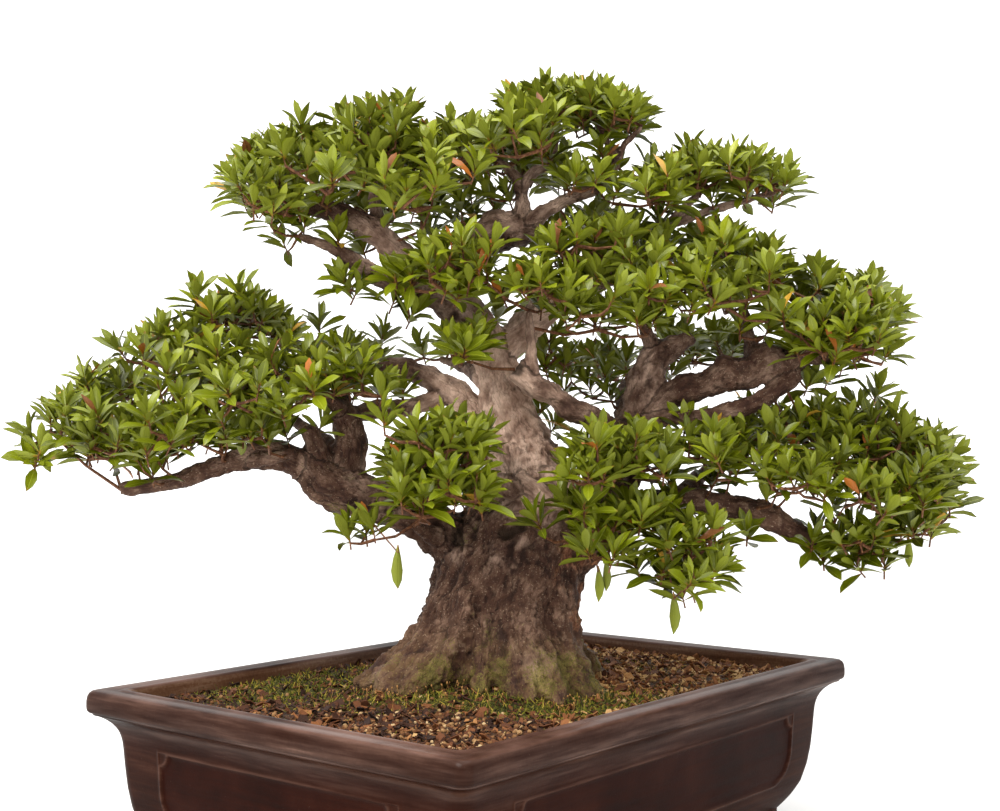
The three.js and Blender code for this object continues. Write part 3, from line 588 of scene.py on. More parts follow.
def panel_relief(along, height, half):
    """How far a wall stands out at a place: a bead round the panel, and the sunk panel inside it."""
    side = half - abs(along)
    top, bottom = PANEL_HIGH - height, height - PANEL_LOW
    inside = min(side, top, bottom)
    inside = min(inside, math.hypot(side, top) - PANEL_NOTCH if side > 0 and top > 0 else inside)
    if side < PANEL_ROUND and bottom < PANEL_ROUND:
        inside = min(inside, PANEL_ROUND - math.hypot(PANEL_ROUND - side, PANEL_ROUND - bottom))
    bead = hump((inside - BEAD_INSIDE) / BEAD_WIDTH)
    sunk = clamped(inside / PANEL_SLOPE)
    return BEAD_HEIGHT * bead - PANEL_DEPTH * sunk * sunk * (3 - 2 * sunk)


def wall_places(half):
    """Places along a wall from its middle, closer together at the ends of its panel."""
    ends = [half - inside for inside in PANEL_END]
    middle = [(half - PANEL_END[0]) * (2 * k / WALL_STEPS - 1) for k in range(1, WALL_STEPS)]
    return [-end for end in reversed(ends)] + middle + ends


def pot_ring():
    """The steps of one ring round the pot: (side, kind, angle round a corner or place along a wall)."""
    ring = []
    for side in range(4):
        for k in range(CORNER_STEPS + 1):
            ring.append((side, "corner", (k / CORNER_STEPS - 1) * math.pi / 2))
        for along in wall_places(PANEL_HALVES[side % 2]):
            ring.append((side, "wall", along))
    return ring


def relief_at(step, height):
    """How far the panels' relief stands out at a ring's step and a height."""
    side, kind, value = step
    return panel_relief(value, height, PANEL_HALVES[side % 2]) if kind == "wall" else 0


def pot_place(step, inset, height, radius, relief):
    """The place of a ring's step at a row of the profile."""
    side, kind, value = step
    reach, across = (POT_LENGTH / 2, POT_WIDTH / 2) if side % 2 == 0 else (POT_WIDTH / 2, POT_LENGTH / 2)
    if kind == "corner":
        x = reach - inset - radius + radius * math.cos(value)
        y = -across + inset + radius + radius * math.sin(value)
    else:
        x = reach - inset + relief
        y = value
    return POT_AXIS + Matrix.Rotation(side * math.pi / 2, 3, "Z") @ Vector((x, y, height))


def extruded(bm, edges):
    """Extrudes a loop of edges and returns the new vertices and edges."""
    made = bmesh.ops.extrude_edge_only(bm, edges=edges)["geom"]
    return parts_of(made, bmesh.types.BMVert), parts_of(made, bmesh.types.BMEdge)


def pot_shell(bm):
    """Rings that follow the pot's plan, up its outside and down its inside. Returns the first and last."""
    ring = pot_ring()
    step_of = bm.verts.layers.int.new("step")
    relief_layer = bm.verts.layers.float.new("relief")
    verts = bmesh.ops.create_circle(bm, segments=len(ring), radius=1)["verts"]
    for vertex in verts:
        turn = math.atan2(vertex.co.y, vertex.co.x) / (2 * math.pi)
        vertex[step_of] = round(turn * len(ring)) % len(ring)
    rows = [(row, False) for row in POT_FOOT_ROWS] + [(row, True) for row in wall_rows()]
    rows += [(row, False) for row in POT_RIM_ROWS]
    bottom = edges = bm.edges[:]
    for i, (row, panelled) in enumerate(rows):
        if i:
            verts, edges = extruded(bm, edges)
        for vertex in verts:
            step = ring[vertex[step_of]]
            relief = relief_at(step, row[1]) if panelled else 0
            vertex.co = pot_place(step, *row, relief)
            vertex[relief_layer] = relief / MM
    return bottom, edges


def pot_floor(bm, bottom, inner):
    """Closes the pot's shell with its floor, and runs the two drainage holes through it."""
    rims = {FOOT_HEIGHT: bottom, FLOOR_TOP: inner}
    holes = {height: [] for height in rims}
    for height, outline in rims.items():
        cut = list(outline)
        for x in DRAIN_PLACES:
            before = set(bm.edges)
            centre = Matrix.Translation((POT_MIDDLE.x + x, POT_MIDDLE.y, height))
            bmesh.ops.create_circle(bm, segments=24, radius=DRAIN_RADIUS, matrix=centre)
            holes[height].append([edge for edge in bm.edges if edge not in before])
            cut += holes[height][-1]
        bmesh.ops.triangle_fill(bm, use_beauty=True, edges=cut)
    for low, high in zip(holes[FOOT_HEIGHT], holes[FLOOR_TOP]):
        bmesh.ops.bridge_loops(bm, edges=low + high)


FOOT_LEG = 0.082
FOOT_THICKNESS = 0.030
FOOT_INSET = 0.039
FOOT_CELLS = 12  # across the square that a foot is cut from
FOOT_ROWS = 12
FOOT_SUNK = 0.004  # how far a foot runs up into the pot
FOOT_LIFT = 1e-7  # tells a finished foot from the next one's flat grid
FOOT_LIP = 0.0025
FOOT_LIP_AT = 0.14
FOOT_WAIST = 0.0055
FOOT_WAIST_FROM = 0.18
FOOT_TOE = 0.0045
FOOT_PINCH = 0.018  # how far a foot's outer corner is rounded off


def foot_profile(low):
    """How far a foot's outer face and its ends draw in, where low is 1 on the ground and 0 at the pot."""
    lip = FOOT_LIP * hump((low - FOOT_LIP_AT) / 0.09)
    below = clamped((low - FOOT_WAIST_FROM) / (1 - FOOT_WAIST_FROM))
    waist = FOOT_WAIST * math.sin(math.pi * below) ** 2
    toe = FOOT_TOE * low ** 3
    scroll = 0.016 * math.sqrt(low) + 0.004 * math.sin(2.2 * math.pi * low)
    return 0.0015 - lip + waist + toe, scroll


def pot_foot(bm, sign_x, sign_y):
    """Adds one L-shaped cloud foot to the pot."""
    corner = Matrix.Diagonal((FOOT_LEG, FOOT_LEG, 1, 1)) @ Matrix.Translation((0.5, 0.5, 0))
    cells = {"x_segments": FOOT_CELLS, "y_segments": FOOT_CELLS}
    grid = bmesh.ops.create_grid(bm, size=0.5, matrix=corner, **cells)["verts"]
    notch = [vertex for vertex in grid if min(vertex.co.x, vertex.co.y) > FOOT_THICKNESS + 0.0005]
    bmesh.ops.delete(bm, geom=notch, context="VERTS")
    end = [face for face in bm.faces if all(vertex.co.z == 0 for vertex in face.verts)]
    levels = [list({vertex for face in end for vertex in face.verts})]
    for _ in range(FOOT_ROWS):
        end, verts = pulled(bm, end)
        levels.append(verts)
    for level, verts in enumerate(levels):
        low = max(0, 1 - level / (FOOT_ROWS - 1))
        height = FOOT_HEIGHT * (1 - low) + (FOOT_SUNK if level == FOOT_ROWS else 0)
        draw_in, scroll = foot_profile(low)
        for vertex in verts:
            x, y = vertex.co.xy
            near_x, near_y = 1 - min(1, x / FOOT_THICKNESS), 1 - min(1, y / FOOT_THICKNESS)
            end_x, end_y = (max(0, out - FOOT_THICKNESS) / (FOOT_LEG - FOOT_THICKNESS) for out in (x, y))
            pinch = FOOT_PINCH * max(0, near_x + near_y - 1.45)
            x += draw_in * near_x - scroll * end_x ** 2 + pinch
            y += draw_in * near_y - scroll * end_y ** 2 + pinch
            vertex.co.x = POT_MIDDLE.x + sign_x * (POT_LENGTH / 2 - FOOT_INSET - x)
            vertex.co.y = POT_MIDDLE.y + sign_y * (POT_WIDTH / 2 - FOOT_INSET - y)
            vertex.co.z = height + (FOOT_LIFT if level == 0 else 0)


def pot_body():
    """The pot on its four feet."""
    bm = bmesh.new()
    pot_floor(bm, *pot_shell(bm))
    for sign_x in (-1, 1):
        for sign_y in (-1, 1):
            pot_foot(bm, sign_x, sign_y)
    bmesh.ops.recalc_face_normals(bm, faces=bm.faces)
    smoothed(bm, POT_SHARP)
    return bm


# ------------------------------------------------------------------ soil

SOIL_EDGE = 0.136
SOIL_INSET = 0.0264
SOIL_ROUND = 0.012
SOIL_ROUGHNESS = 0.0016
SOIL_SLOPE = 0.026  # how wide the plain strip along the pot's wall is
MOUND = 0.017
MOUND_REACH = (0.120, 0.100)
MOUND_TOP = Matrix.Rotation(TREE_TURN, 2) @ Vector((0.005, -0.005))
HEAP = 0.007  # a low heap at the right
HEAP_TOP = (0.165, 0.060)
HEAP_REACH = 0.065
WAVES = 0.0016
NETTING_SIZE = 0.036
NETTING_THICKNESS = 0.0016
NETTING_CELLS = 13  # bars and openings across it, with a bar at each edge
GAP = 0.0003  # between the pot's floor and what lies on it
SOIL_SIDE_ROWS = ((0.0333, 0.050, 0.016), (0.0463, FLOOR_TOP + GAP, 0.020))  # (inset, height, corner radius)


def soil_height(x, y):
    """Height of the soil at a place measured from the pot's middle."""
    away = (x - MOUND_TOP.x) / MOUND_REACH[0], (y - MOUND_TOP.y) / MOUND_REACH[1]
    mound = MOUND * math.exp(-(away[0] ** 2) - away[1] ** 2)
    heap = HEAP * math.exp(-(((x - HEAP_TOP[0]) ** 2 + (y - HEAP_TOP[1]) ** 2) / HEAP_REACH ** 2))
    waves = WAVES * math.sin(x / 0.023 + 1) * math.cos(y / 0.019)
    inside = min(POT_LENGTH / 2 - SOIL_SLOPE - abs(x), POT_WIDTH / 2 - SOIL_SLOPE - abs(y))
    return SOIL_EDGE + mound + (heap + waves) * clamped(inside / SOIL_SLOPE)


def inside_pot(x, y, inset, radius):
    """The nearest place to (x, y), from the pot's middle, inside its wall's round-cornered outline."""
    half_x, half_y = POT_LENGTH / 2 - inset, POT_WIDTH / 2 - inset
    x, y = max(-half_x, min(half_x, x)), max(-half_y, min(half_y, y))
    over = Vector((abs(x) - half_x + radius, abs(y) - half_y + radius))
    if over.x > 0 and over.y > 0 and over.length > radius:
        over *= radius / over.length
        x = math.copysign(half_x - radius + over.x, x)
        y = math.copysign(half_y - radius + over.y, y)
    return x, y


def soil_body(spacing):
    """The soil: a rough top, and sides that follow the pot's inside down to its floor."""
    bm = bmesh.new()
    columns = round(POT_LENGTH / spacing)
    lines = round(POT_WIDTH / spacing)
    size = Matrix.Diagonal((POT_LENGTH, POT_WIDTH, 1, 1))
    bmesh.ops.create_grid(bm, x_segments=columns, y_segments=lines, size=0.5, matrix=size)
    mossy_layer = bm.verts.layers.float.new("mossy")
    for vertex in bm.verts:
        x = vertex.co.x * (1 - 2 * SOIL_INSET / POT_LENGTH)
        y = vertex.co.y * (1 - 2 * SOIL_INSET / POT_WIDTH)
        x, y = inside_pot(x, y, SOIL_INSET, SOIL_ROUND)
        rough = SOIL_ROUGHNESS * noise.fractal(Vector((x, y, 0)) * 130, 1.0, 2.0, 3)
        vertex.co = POT_AXIS + Vector((x, y, soil_height(x, y) + rough))
        vertex[mossy_layer] = moss_chance(seen_from_front(x, y))
    edges = [edge for edge in bm.edges if edge.is_boundary]
    for inset, height, radius in SOIL_SIDE_ROWS:
        verts, edges = extruded(bm, edges)
        for vertex in verts:
            x, y = vertex.co.xy - POT_MIDDLE.xy
            x, y = inside_pot(x, y, inset, radius)
            vertex.co = POT_AXIS + Vector((x, y, height))
    bmesh.ops.triangle_fill(bm, use_beauty=True, edges=edges)
    bmesh.ops.recalc_face_normals(bm, faces=bm.faces)
    smoothed(bm)
    return bm


def drain_netting(x):
    """A square of plastic netting over one drainage hole."""
    bm = bmesh.new()
    centre = Matrix.Translation((POT_MIDDLE.x + x, POT_MIDDLE.y, FLOOR_TOP + GAP))
    size = {"x_segments": NETTING_CELLS, "y_segments": NETTING_CELLS, "size": NETTING_SIZE / 2}
    bmesh.ops.create_grid(bm, matrix=centre, **size)
    pitch = NETTING_SIZE / NETTING_CELLS
    openings = []
    for face in bm.faces:
        from_centre = face.calc_center_median() - centre.translation
        column, line = (math.floor((value + NETTING_SIZE / 2) / pitch) for value in from_centre.xy)
        if column % 2 and line % 2:
            openings.append(face)
    bmesh.ops.delete(bm, geom=openings, context="FACES")
    return thickened(bm, NETTING_THICKNESS)


# ------------------------------------------------------------------ litter, granules and moss

# Where moss grows on the soil, in the tree's millimetres: (x, y, radius, weight).
MOSS_BEDS = [
    (-165, -40, 70, 1.0), (-190, 60, 80, 0.8), (-95, -95, 34, 0.5), (-70, 40, 60, 0.7), (20, -112, 40, 1.3),
    (-50, -86, 34, 1.2), (75, -100, 40, 1.0), (120, -80, 42, 0.8), (165, -30, 40, 0.35), (60, 110, 60, 0.6),
    (-20, 150, 60, 0.5), (150, 70, 45, 0.4),
]

# Where moss stalks stand, in the same columns.
STALK_BEDS = [
    (-60, -86, 34, 1.0), (-20, -92, 30, 0.8), (60, -104, 24, 0.8), (-100, -60, 24, 0.5), (95, -70, 24, 0.5),
]

# Where pale granules lie thick, in the same columns.
GRANULE_BEDS = [(-60, -190, 60, 1.0), (10, -235, 60, 1.2), (225, -60, 60, 1.0), (110, -150, 40, 0.5)]

# Flakes: (length, width, curl, thickness), and their lengths in the scene.
FLAKE_SHAPES = [
    (1.0, 0.42, 1.2, 0.05), (1.0, 0.62, 0.7, 0.05), (1.0, 0.34, 2.2, 0.05), (1.0, 0.20, 0.5, 0.06),
    (0.9, 0.75, 1.6, 0.06),
]
FLAKE_SIZES = (0.004, 0.005, 0.006, 0.007, 0.008, 0.011)

# Granules, strands of moss and stalks: the least and the greatest length.
GRANULE_SIZES = (0.0022, 0.0050)
STRAND_SIZES = (0.0020, 0.0046)
STALK_SIZES = (0.004, 0.008)

STREWN_INSET = 0.028  # how far inside the pot's outline things may be strewn
TRUNK_FOOT = Vector((5, -6))  # in the tree's frame, in mm
TRUNK_FOOT_RADIUS = 48  # nothing is strewn nearer to it than this


def bed_weight(spot, beds):
    """The summed weight of round beds at a place."""
    return sum(w * math.exp(-(((spot.x - x) ** 2 + (spot.y - y) ** 2) / r ** 2)) for x, y, r, w in beds)


# What strewn() asks of each kind of thing: its size, how likely it lies at a place, and its tint.


def flake_size(draw, spot):
    return draw.choice(FLAKE_SIZES) * draw.uniform(0.8, 1.25)


def flake_chance(spot):
    return 1 - 0.75 * min(1, bed_weight(spot, MOSS_BEDS)) - 0.3 * min(1, bed_weight(spot, GRANULE_BEDS))


def flake_tint(draw, spot):
    # painted light: flakes are lighter towards the right, against the tree's shadow on the soil there
    right = 0.36 * clamped((spot.x - 20) / 60) - 0.10
    return clamped(draw.betavariate(1.6, 2.2) + right + 0.25 * (draw.random() < 0.08))


def granule_size(draw, spot):
    return draw.uniform(*GRANULE_SIZES)


def granule_chance(spot):
    return 0.12 + min(0.88, bed_weight(spot, GRANULE_BEDS))


def granule_tint(draw, spot):
    pale = 0.1 * min(1, bed_weight(spot, GRANULE_BEDS))
    return clamped(draw.betavariate(2.2, 2.2) + pale)


def strand_size(draw, spot):
    return draw.uniform(*STRAND_SIZES) * (0.6 + 0.5 * min(1, bed_weight(spot, MOSS_BEDS)))


def moss_chance(spot):
    point = Vector((spot.x, spot.y, 3))
    patches = noise.noise(point / 16) + 0.6 * noise.noise(point / 6)
    return bed_weight(spot, MOSS_BEDS) + 0.55 * patches - 0.12


def strand_tint(draw, spot):
    return draw.random()


def stalk_size(draw, spot):
    return draw.uniform(*STALK_SIZES)


def stalk_chance(spot):
    return bed_weight(spot, STALK_BEDS)


def stalk_tint(draw, spot):
    """Past 1, where the moss is brown."""
    return draw.uniform(1.2, 1.5)


def curled_flake(length, width, curl, thickness):
    """A curled flake of bark or dead leaf."""
    bm = bmesh.new()
    bmesh.ops.create_grid(bm, x_segments=1, y_segments=2, size=0.5)
    for vertex in bm.verts:
        across, along = vertex.co.x, vertex.co.y
        narrow = 1 - 1.1 * abs(along) ** 1.3
        bend = curl * along
        out, rise = math.sin(bend) / curl, (1 - math.cos(bend)) / curl
        vertex.co = (across * width * narrow, out * length, rise * length)
    return thickened(bm, thickness)


def granule(draw, flatness):
    """A rough fired-clay granule."""
    bm = bmesh.new()
    bmesh.ops.create_icosphere(bm, subdivisions=1, radius=0.5)
    for vertex in bm.verts:
        vertex.co *= draw.uniform(0.8, 1.15)
        vertex.co.z *= flatness
    return bm


def moss_strand(lean, thickness):
    """One thin curved strand of length 1 that stands on its root."""
    bm = bmesh.new()
    bmesh.ops.create_cone(bm, cap_ends=True, segments=3, radius1=thickness, radius2=thickness / 3, depth=1)
    bmesh.ops.translate(bm, vec=(0, 0, 0.5), verts=bm.verts)
    parts = bm.verts[:] + bm.edges[:] + bm.faces[:]
    bmesh.ops.bisect_plane(bm, geom=parts, plane_co=(0, 0, 0.5), plane_no=(0, 0, 1))
    for vertex in bm.verts:
        vertex.co.x += lean * vertex.co.z ** 2
    return bm


def moss_stalk():
    """A thin stalk of length 1 with a small head."""
    bm = moss_strand(0.35, 0.04)
    head = Matrix.Translation((0.35, 0, 1)) @ Matrix.Diagonal((1, 1, 1.6, 1))
    bmesh.ops.create_icosphere(bm, subdivisions=1, radius=0.10, matrix=head)
    return bm


def soil_place(draw):
    """A drawn place on the soil clear of the trunk, and the same place in the tree's millimetres."""
    while True:
        x = (draw.random() - 0.5) * (POT_LENGTH - 2 * STREWN_INSET)
        y = (draw.random() - 0.5) * (POT_WIDTH - 2 * STREWN_INSET)
        seen = seen_from_front(x, y)
        if math.hypot(seen.x - TRUNK_FOOT.x, (seen.y - TRUNK_FOOT.y) * 1.1) > TRUNK_FOOT_RADIUS:
            return Vector((POT_MIDDLE.x + x, POT_MIDDLE.y + y, soil_height(x, y))), seen


def strewn(stamps, count, draw, size, sink, tilt, chance, tint):
    """A bmesh of copies of some stamps on the soil, each drawn for its place, size, turn and tint."""
    bm = bmesh.new()
    made = 0
    while made < count:
        spot, seen = soil_place(draw)
        if draw.random() > chance(seen):
            continue
        made += 1
        scale = size(draw, seen)
        lean = Vector((draw.gauss(0, tilt), draw.gauss(0, tilt), 1)).normalized()
        spot.z += scale * sink * draw.uniform(-0.6, 1)
        turn = turned_to(lean, draw.uniform(0, 2 * math.pi))
        where = Matrix.Translation(spot) @ turn @ Matrix.Scale(scale, 4)
        draw.choice(stamps).press(bm, where, tint(draw, seen))
    return bm


# ------------------------------------------------------------------ wood

TRUNK_FLATNESS = 0.86
TRUNK_MIDDLE = (12, -7)
TRUNK_SIDES = 40
THICK_SIDES = 16
THIN_SIDES = 10
THICK = 12  # least radius of a limb with that many sides
ROUTE_SPACING = 5
RIGHT_DRAWN_IN = 0.16  # how much narrower the trunk's foot is at its right

# The trunk's buttresses: (how far they stand out, the height that they end below, how gradually).
FLUTES = [(3.0, 285, 90), (3.6, 205, 50)]

# Ridges that run down the trunk into the roots: front ones from the left, then back ones.
RIDGES = [
    [(-28, -30, 246, 8), (-40, -32, 215, 9), (-56, -34, 185, 10), (-82, -38, 160, 10), (-106, -42, 142, 8)],
    [(-48, -42, 190, 8), (-64, -52, 166, 9), (-80, -62, 150, 12), (-92, -68, 134, 8)],
    [(-16, -52, 225, 8), (-24, -58, 195, 9), (-36, -66, 168, 10), (-48, -78, 148, 9)],
    [(4, -54, 210, 8), (0, -62, 185, 9), (-6, -74, 160, 9), (-6, -88, 144, 7)],
    [(24, -54, 215, 8), (32, -60, 190, 12), (38, -70, 166, 17), (48, -84, 148, 15), (58, -98, 132, 9)],
    [(52, -36, 262, 8), (56, -42, 225, 8), (58, -50, 190, 9), (66, -62, 162, 10), (80, -76, 140, 8)],
    [(64, -32, 272, 6), (66, -36, 240, 5), (66, -38, 205, 5), (66, -42, 170, 6), (70, -50, 142, 6)],
    [(70, -24, 262, 6), (68, -28, 228, 4.5), (70, -30, 190, 5), (68, -36, 160, 6), (76, -40, 140, 5)],
    [(58, -42, 240, 4.5), (62, -46, 205, 4.5), (60, -52, 175, 5), (64, -60, 150, 5)],
    [(10, 40, 230, 9), (20, 50, 190, 10), (26, 66, 160, 9), (30, 86, 142, 7)],
    [(-30, 30, 225, 9), (-44, 40, 190, 10), (-54, 60, 160, 9), (-60, 80, 142, 7)],
    [(52, 14, 230, 9), (58, 24, 195, 10), (66, 34, 162, 9), (80, 44, 142, 7)],
]

# Hollows in the wood: (x, y, z, radius, depth, height against width).
HOLLOWS = [
    (-27, -50, 265, 5.5, 3.5, 1.6), (13, -60, 269, 8, 10, 0.7), (24, -58, 273, 7, 7, 0.6),
    (22, -58, 400, 6, 2, 1.0),
]

# Moss on the wood: (x, y, z, radius, weight).
WOOD_MOSS = [
    (-25, -46, 264, 9, 1.6), (44, -74, 152, 26, 1.1), (20, -78, 148, 22, 1.0), (-27, -46, 265, 8, 1.0),
    (74, -60, 150, 26, 0.8), (-60, -52, 150, 24, 0.8), (-35, -70, 148, 26, 1.0), (0, -76, 150, 26, 0.9),
    (5, -68, 190, 16, 0.35), (-60, -20, 268, 20, 0.35), (-120, -25, 290, 24, 0.45), (10, 60, 158, 40, 0.7),
    (-60, 40, 156, 34, 0.6), (60, 40, 158, 34, 0.6), (40, 40, 220, 26, 0.4), (-48, -40, 176, 16, 0.4),
]

# Red-brown stringy bark that peels from the trunk, in the same columns.
WOOD_RUST = [
    (66, -30, 252, 22, 0.9), (70, -24, 215, 24, 0.8), (54, -44, 236, 15, 0.7), (62, -40, 190, 20, 0.8),
    (30, -62, 236, 12, 0.5), (-50, -30, 236, 13, 0.4), (48, 40, 240, 26, 0.6), (-38, -60, 170, 16, 0.6),
    (-18, -66, 178, 13, 0.5),
]

# Paler, barer wood, in the same columns.
WOOD_PALE = [
    (52, -44, 298, 22, 1.7), (70, -36, 300, 16, 1.3), (36, 6, 320, 50, 1.9), (10, 10, 380, 54, 2.8),
    (22, 8, 350, 46, 2.6), (0, 4, 420, 30, 1.5), (-30, -40, 256, 20, 0.6), (10, -50, 250, 24, 0.5),
    (36, -80, 160, 24, 0.8), (-86, -44, 150, 20, 0.7), (60, 0, 462, 44, 0.8), (84, -8, 480, 30, 0.8),
    (-80, -10, 500, 40, 0.5), (-20, -6, 452, 26, 0.5), (130, 0, 400, 24, 0.4), (60, -6, 545, 40, 0.6),
    (26, 8, 530, 24, 0.4), (-36, -12, 262, 26, 0.4), (-92, -16, 290, 30, 0.5), (24, -58, 260, 9, 1.0),
    (-82, -62, 148, 14, 0.9), (176, 0, 556, 40, 0.5),
]

# Pruning scars: how many, their radii, how far their rings stand out and their middles dip, on limbs of
# what radii and above what height.
SCARS = 90
SCAR_RADII = (2.6, 5.2)
SCAR_RING = 1.7
SCAR_DIP = 1.3
SCARRED_LIMBS = (7, 40)
SCARRED_ABOVE = 240


def flute_height(turn, height):
    """How far the trunk's buttresses stand out, at an angle about it and a height."""
    ribs = math.sin(5 * turn + 0.6) + 0.6 * math.sin(8 * turn + 2.1)
    ribs += 0.4 * math.sin(13 * turn + height / 60)
    return sum(out * clamped((end - height) / fade) for out, end, fade in FLUTES) * ribs


def fluted(bm):
    """Gives the trunk's tube its buttresses and its flattened plan."""
    middle_x, middle_y = TRUNK_MIDDLE
    for vertex in bm.verts:
        out = Vector((vertex.co.x - middle_x, vertex.co.y - middle_y, 0))
        vertex.co += out.normalized() * flute_height(math.atan2(out.y, out.x), vertex.co.z)
        if out.x > 0:
            vertex.co.x -= RIGHT_DRAWN_IN * out.x * clamped((215 - vertex.co.z) / 50)
        vertex.co.y = middle_y + (vertex.co.y - middle_y) * TRUNK_FLATNESS


def out_of_trunk(route):
    """A root's route with a start deeper and higher in the trunk, so that it leaves it as a ridge."""
    x, y, z, radius = route[0]
    return [(0.75 * x + 3, 0.75 * y - 2, z + 42, 0.8 * radius)] + route


def wood_tubes(routes):
    """Every route's tube in one bmesh, the trunk's first. They still overlap."""
    bm = bmesh.new()
    scratch = bpy.data.meshes.new("tube")
    for i, steps in enumerate(routes):
        thick = max(radius for _, radius in steps) > THICK
        one = tube(steps, TRUNK_SIDES if i == 0 else THICK_SIDES if thick else THIN_SIDES)
        if i == 0:
            fluted(one)
        one.to_mesh(scratch)
        one.free()
        bm.from_mesh(scratch)
    bpy.data.meshes.remove(scratch)
    return bm


def one_skin(bm, size):
    """A single closed skin round everything in a bmesh."""
    mesh = bpy.data.meshes.new("skin")
    bm.to_mesh(mesh)
    bm.free()
    thing = bpy.data.objects.new("skin", mesh)
    bpy.context.scene.collection.objects.link(thing)
    remesh = thing.modifiers.new("Skin", "REMESH")
    remesh.mode = "VOXEL"
    remesh.voxel_size = size
    skin = bmesh.new()
    skin.from_object(thing, bpy.context.evaluated_depsgraph_get())
    bpy.data.objects.remove(thing)
    bpy.data.meshes.remove(mesh)
    return skin


def grain_of(points, routes):
    """For each point on the wood, its place in the grain of the limb that it lies on.

    Returns rows of (angle round the limb, length along it, its radius, its number, distance to the next).
    """
    best = np.full(len(points), 1e9)
    second = best.copy()
    rows = np.zeros((len(points), 5))
    for number, steps in enumerate(routes):
        centres = np.array([step[0] for step in steps])
        radii = np.array([step[1] for step in steps])
        lengths = np.concatenate(([0], np.cumsum(np.linalg.norm(np.diff(centres, axis=0), axis=1))))
        reach = radii.max() * 1.6 + 12
        low, high = centres.min(axis=0) - reach, centres.max(axis=0) + reach
        near = np.nonzero(np.all((points > low) & (points < high), axis=1))[0]
        if not len(near):
            continue
        across = points[near][:, None, :] - centres[None]
        distance = np.linalg.norm(across, axis=2) - radii[None]
        step = distance.argmin(axis=1)
        gap = distance[np.arange(len(near)), step]
        wins = gap < best[near]
        second[near] = np.minimum(second[near], np.where(wins, best[near], gap))
        near, step, gap = near[wins], step[wins], gap[wins]
        ahead = np.gradient(centres, axis=0)
        ahead /= np.linalg.norm(ahead, axis=1)[:, None]
        side = np.cross(ahead, (0.3, 1, 0.1))
        side /= np.linalg.norm(side, axis=1)[:, None]
        third = np.cross(ahead, side)
        arm = points[near] - centres[step]
        best[near] = gap
        turn = np.arctan2((arm * third[step]).sum(axis=1), (arm * side[step]).sum(axis=1))
        length = lengths[step] + (arm * ahead[step]).sum(axis=1)
        rows[near, :4] = np.column_stack((turn, length, radii[step], np.full(len(near), number)))
    rows[:, 4] = np.minimum(second - best, 50)
    return rows


def spots_at(point, spots):
    """The greatest weight of some round spots at a place."""
    return max(w * math.exp(-((point - Vector((x, y, z))).length / r) ** 2) for x, y, z, r, w in spots)


def bark_height(point, grain):
    """How far the bark's grain and wrinkles stand out at a place, and how far its burls do.

    Strings and waves follow the limb's grain, wrinkles and creases flow over the thick wood, and burls are
    round. All of them are lower on thinner limbs.
    """
    turn, length, girth, number, apart = grain
    x, y = math.cos(turn) * girth, math.sin(turn) * girth
    waves = noise.noise(Vector((x, y, length * 0.45 + 40 * number)) / (6 + 0.4 * girth))
    strings = noise.fractal(Vector((x, y, length * 0.16 + 40 * number)) / 5.5, 1.0, 2.1, 3)
    strength = min(1, girth / 26)
    rough = (0.8 + 1.5 * strength) * waves * min(1, girth / 9) + 1.7 * strength * strings
    flow = point + noise.noise_vector(point / 34) * 26
    flow.z *= 0.42
    wrinkles = 1 - abs(noise.noise(flow / 9.5))
    creases = 1 - abs(noise.noise(flow / 6.2 + Vector((7, 3, 5))))
    wrinkled = 2.4 * (wrinkles ** 3 - 0.45) - 2.0 * max(0, creases - 0.80) / 0.20
    burls = min(3.4, 0.2 * girth) * max(-0.2, noise.noise(point / 17 + Vector((0, 0, 9))))
    small = min(1.6, 0.12 * girth) * noise.noise(point / 9)
    return rough * min(1, apart / 8) + strength * wrinkled, burls + small


def scarred(bm, hollow_layer, draw, grains):
    """Pushes small round pruning scars into the limbs: a low ring round a dip."""
    tree = kdtree.KDTree(len(bm.verts))
    for vertex in bm.verts:
        tree.insert(vertex.co, vertex.index)
    tree.balance()
    thin, thick = SCARRED_LIMBS
    limbs = [
        i for i, grain in enumerate(grains) if thin < grain[2] < thick and bm.verts[i].co.z > SCARRED_ABOVE
    ]
    for index in draw.sample(limbs, SCARS):
        middle = bm.verts[index].co.copy()
        outward = bm.verts[index].normal.copy()
        radius = draw.uniform(*SCAR_RADII)
        for _, near, distance in tree.find_range(middle, radius * 2):
            share = distance / radius
            ring = SCAR_RING * hump((share - 0.95) / 0.42) - SCAR_DIP * hump(share / 0.5)
            vertex = bm.verts[near]
            vertex.co += outward * ring * radius / 4
            # the dip is marked as hollow, for the bark finish's painted shade
            vertex[hollow_layer] = max(vertex[hollow_layer], 0.75 * hump(share / 0.6))


def hollow_at(point, normal):
    """How far the hollows' rings and dips stand out at a place on the wood, and how deep in one it lies."""
    push = deepest = 0
    for x, y, z, radius, depth, tall in HOLLOWS:
        away = point - Vector((x, y, z))
        share = math.hypot(away.x, away.z / tall) / radius
        if share < 2 and abs(away.y) < 30 and normal.y < 0.3:
            inside = 1 / (1 + share ** 5)
            push += 1.8 * hump((share - 1.25) / 0.3) - depth * inside
            deepest = max(deepest, inside)
    return push, deepest


def even_skin(bm, grains):
    """Smooths the steps that the remesh leaves on the wood, and the thick wood further."""
    thick = [vertex for vertex, grain in zip(bm.verts, grains) if grain[2] > 18 or grain[3] == 0]
    every_way = {"use_axis_x": True, "use_axis_y": True, "use_axis_z": True}
    for verts, times in ((bm.verts, 2), (thick, 5)):
        for _ in range(times):
            bmesh.ops.smooth_vert(bm, verts=verts, factor=0.5, **every_way)
    bm.normal_update()
    bm.verts.ensure_lookup_table()


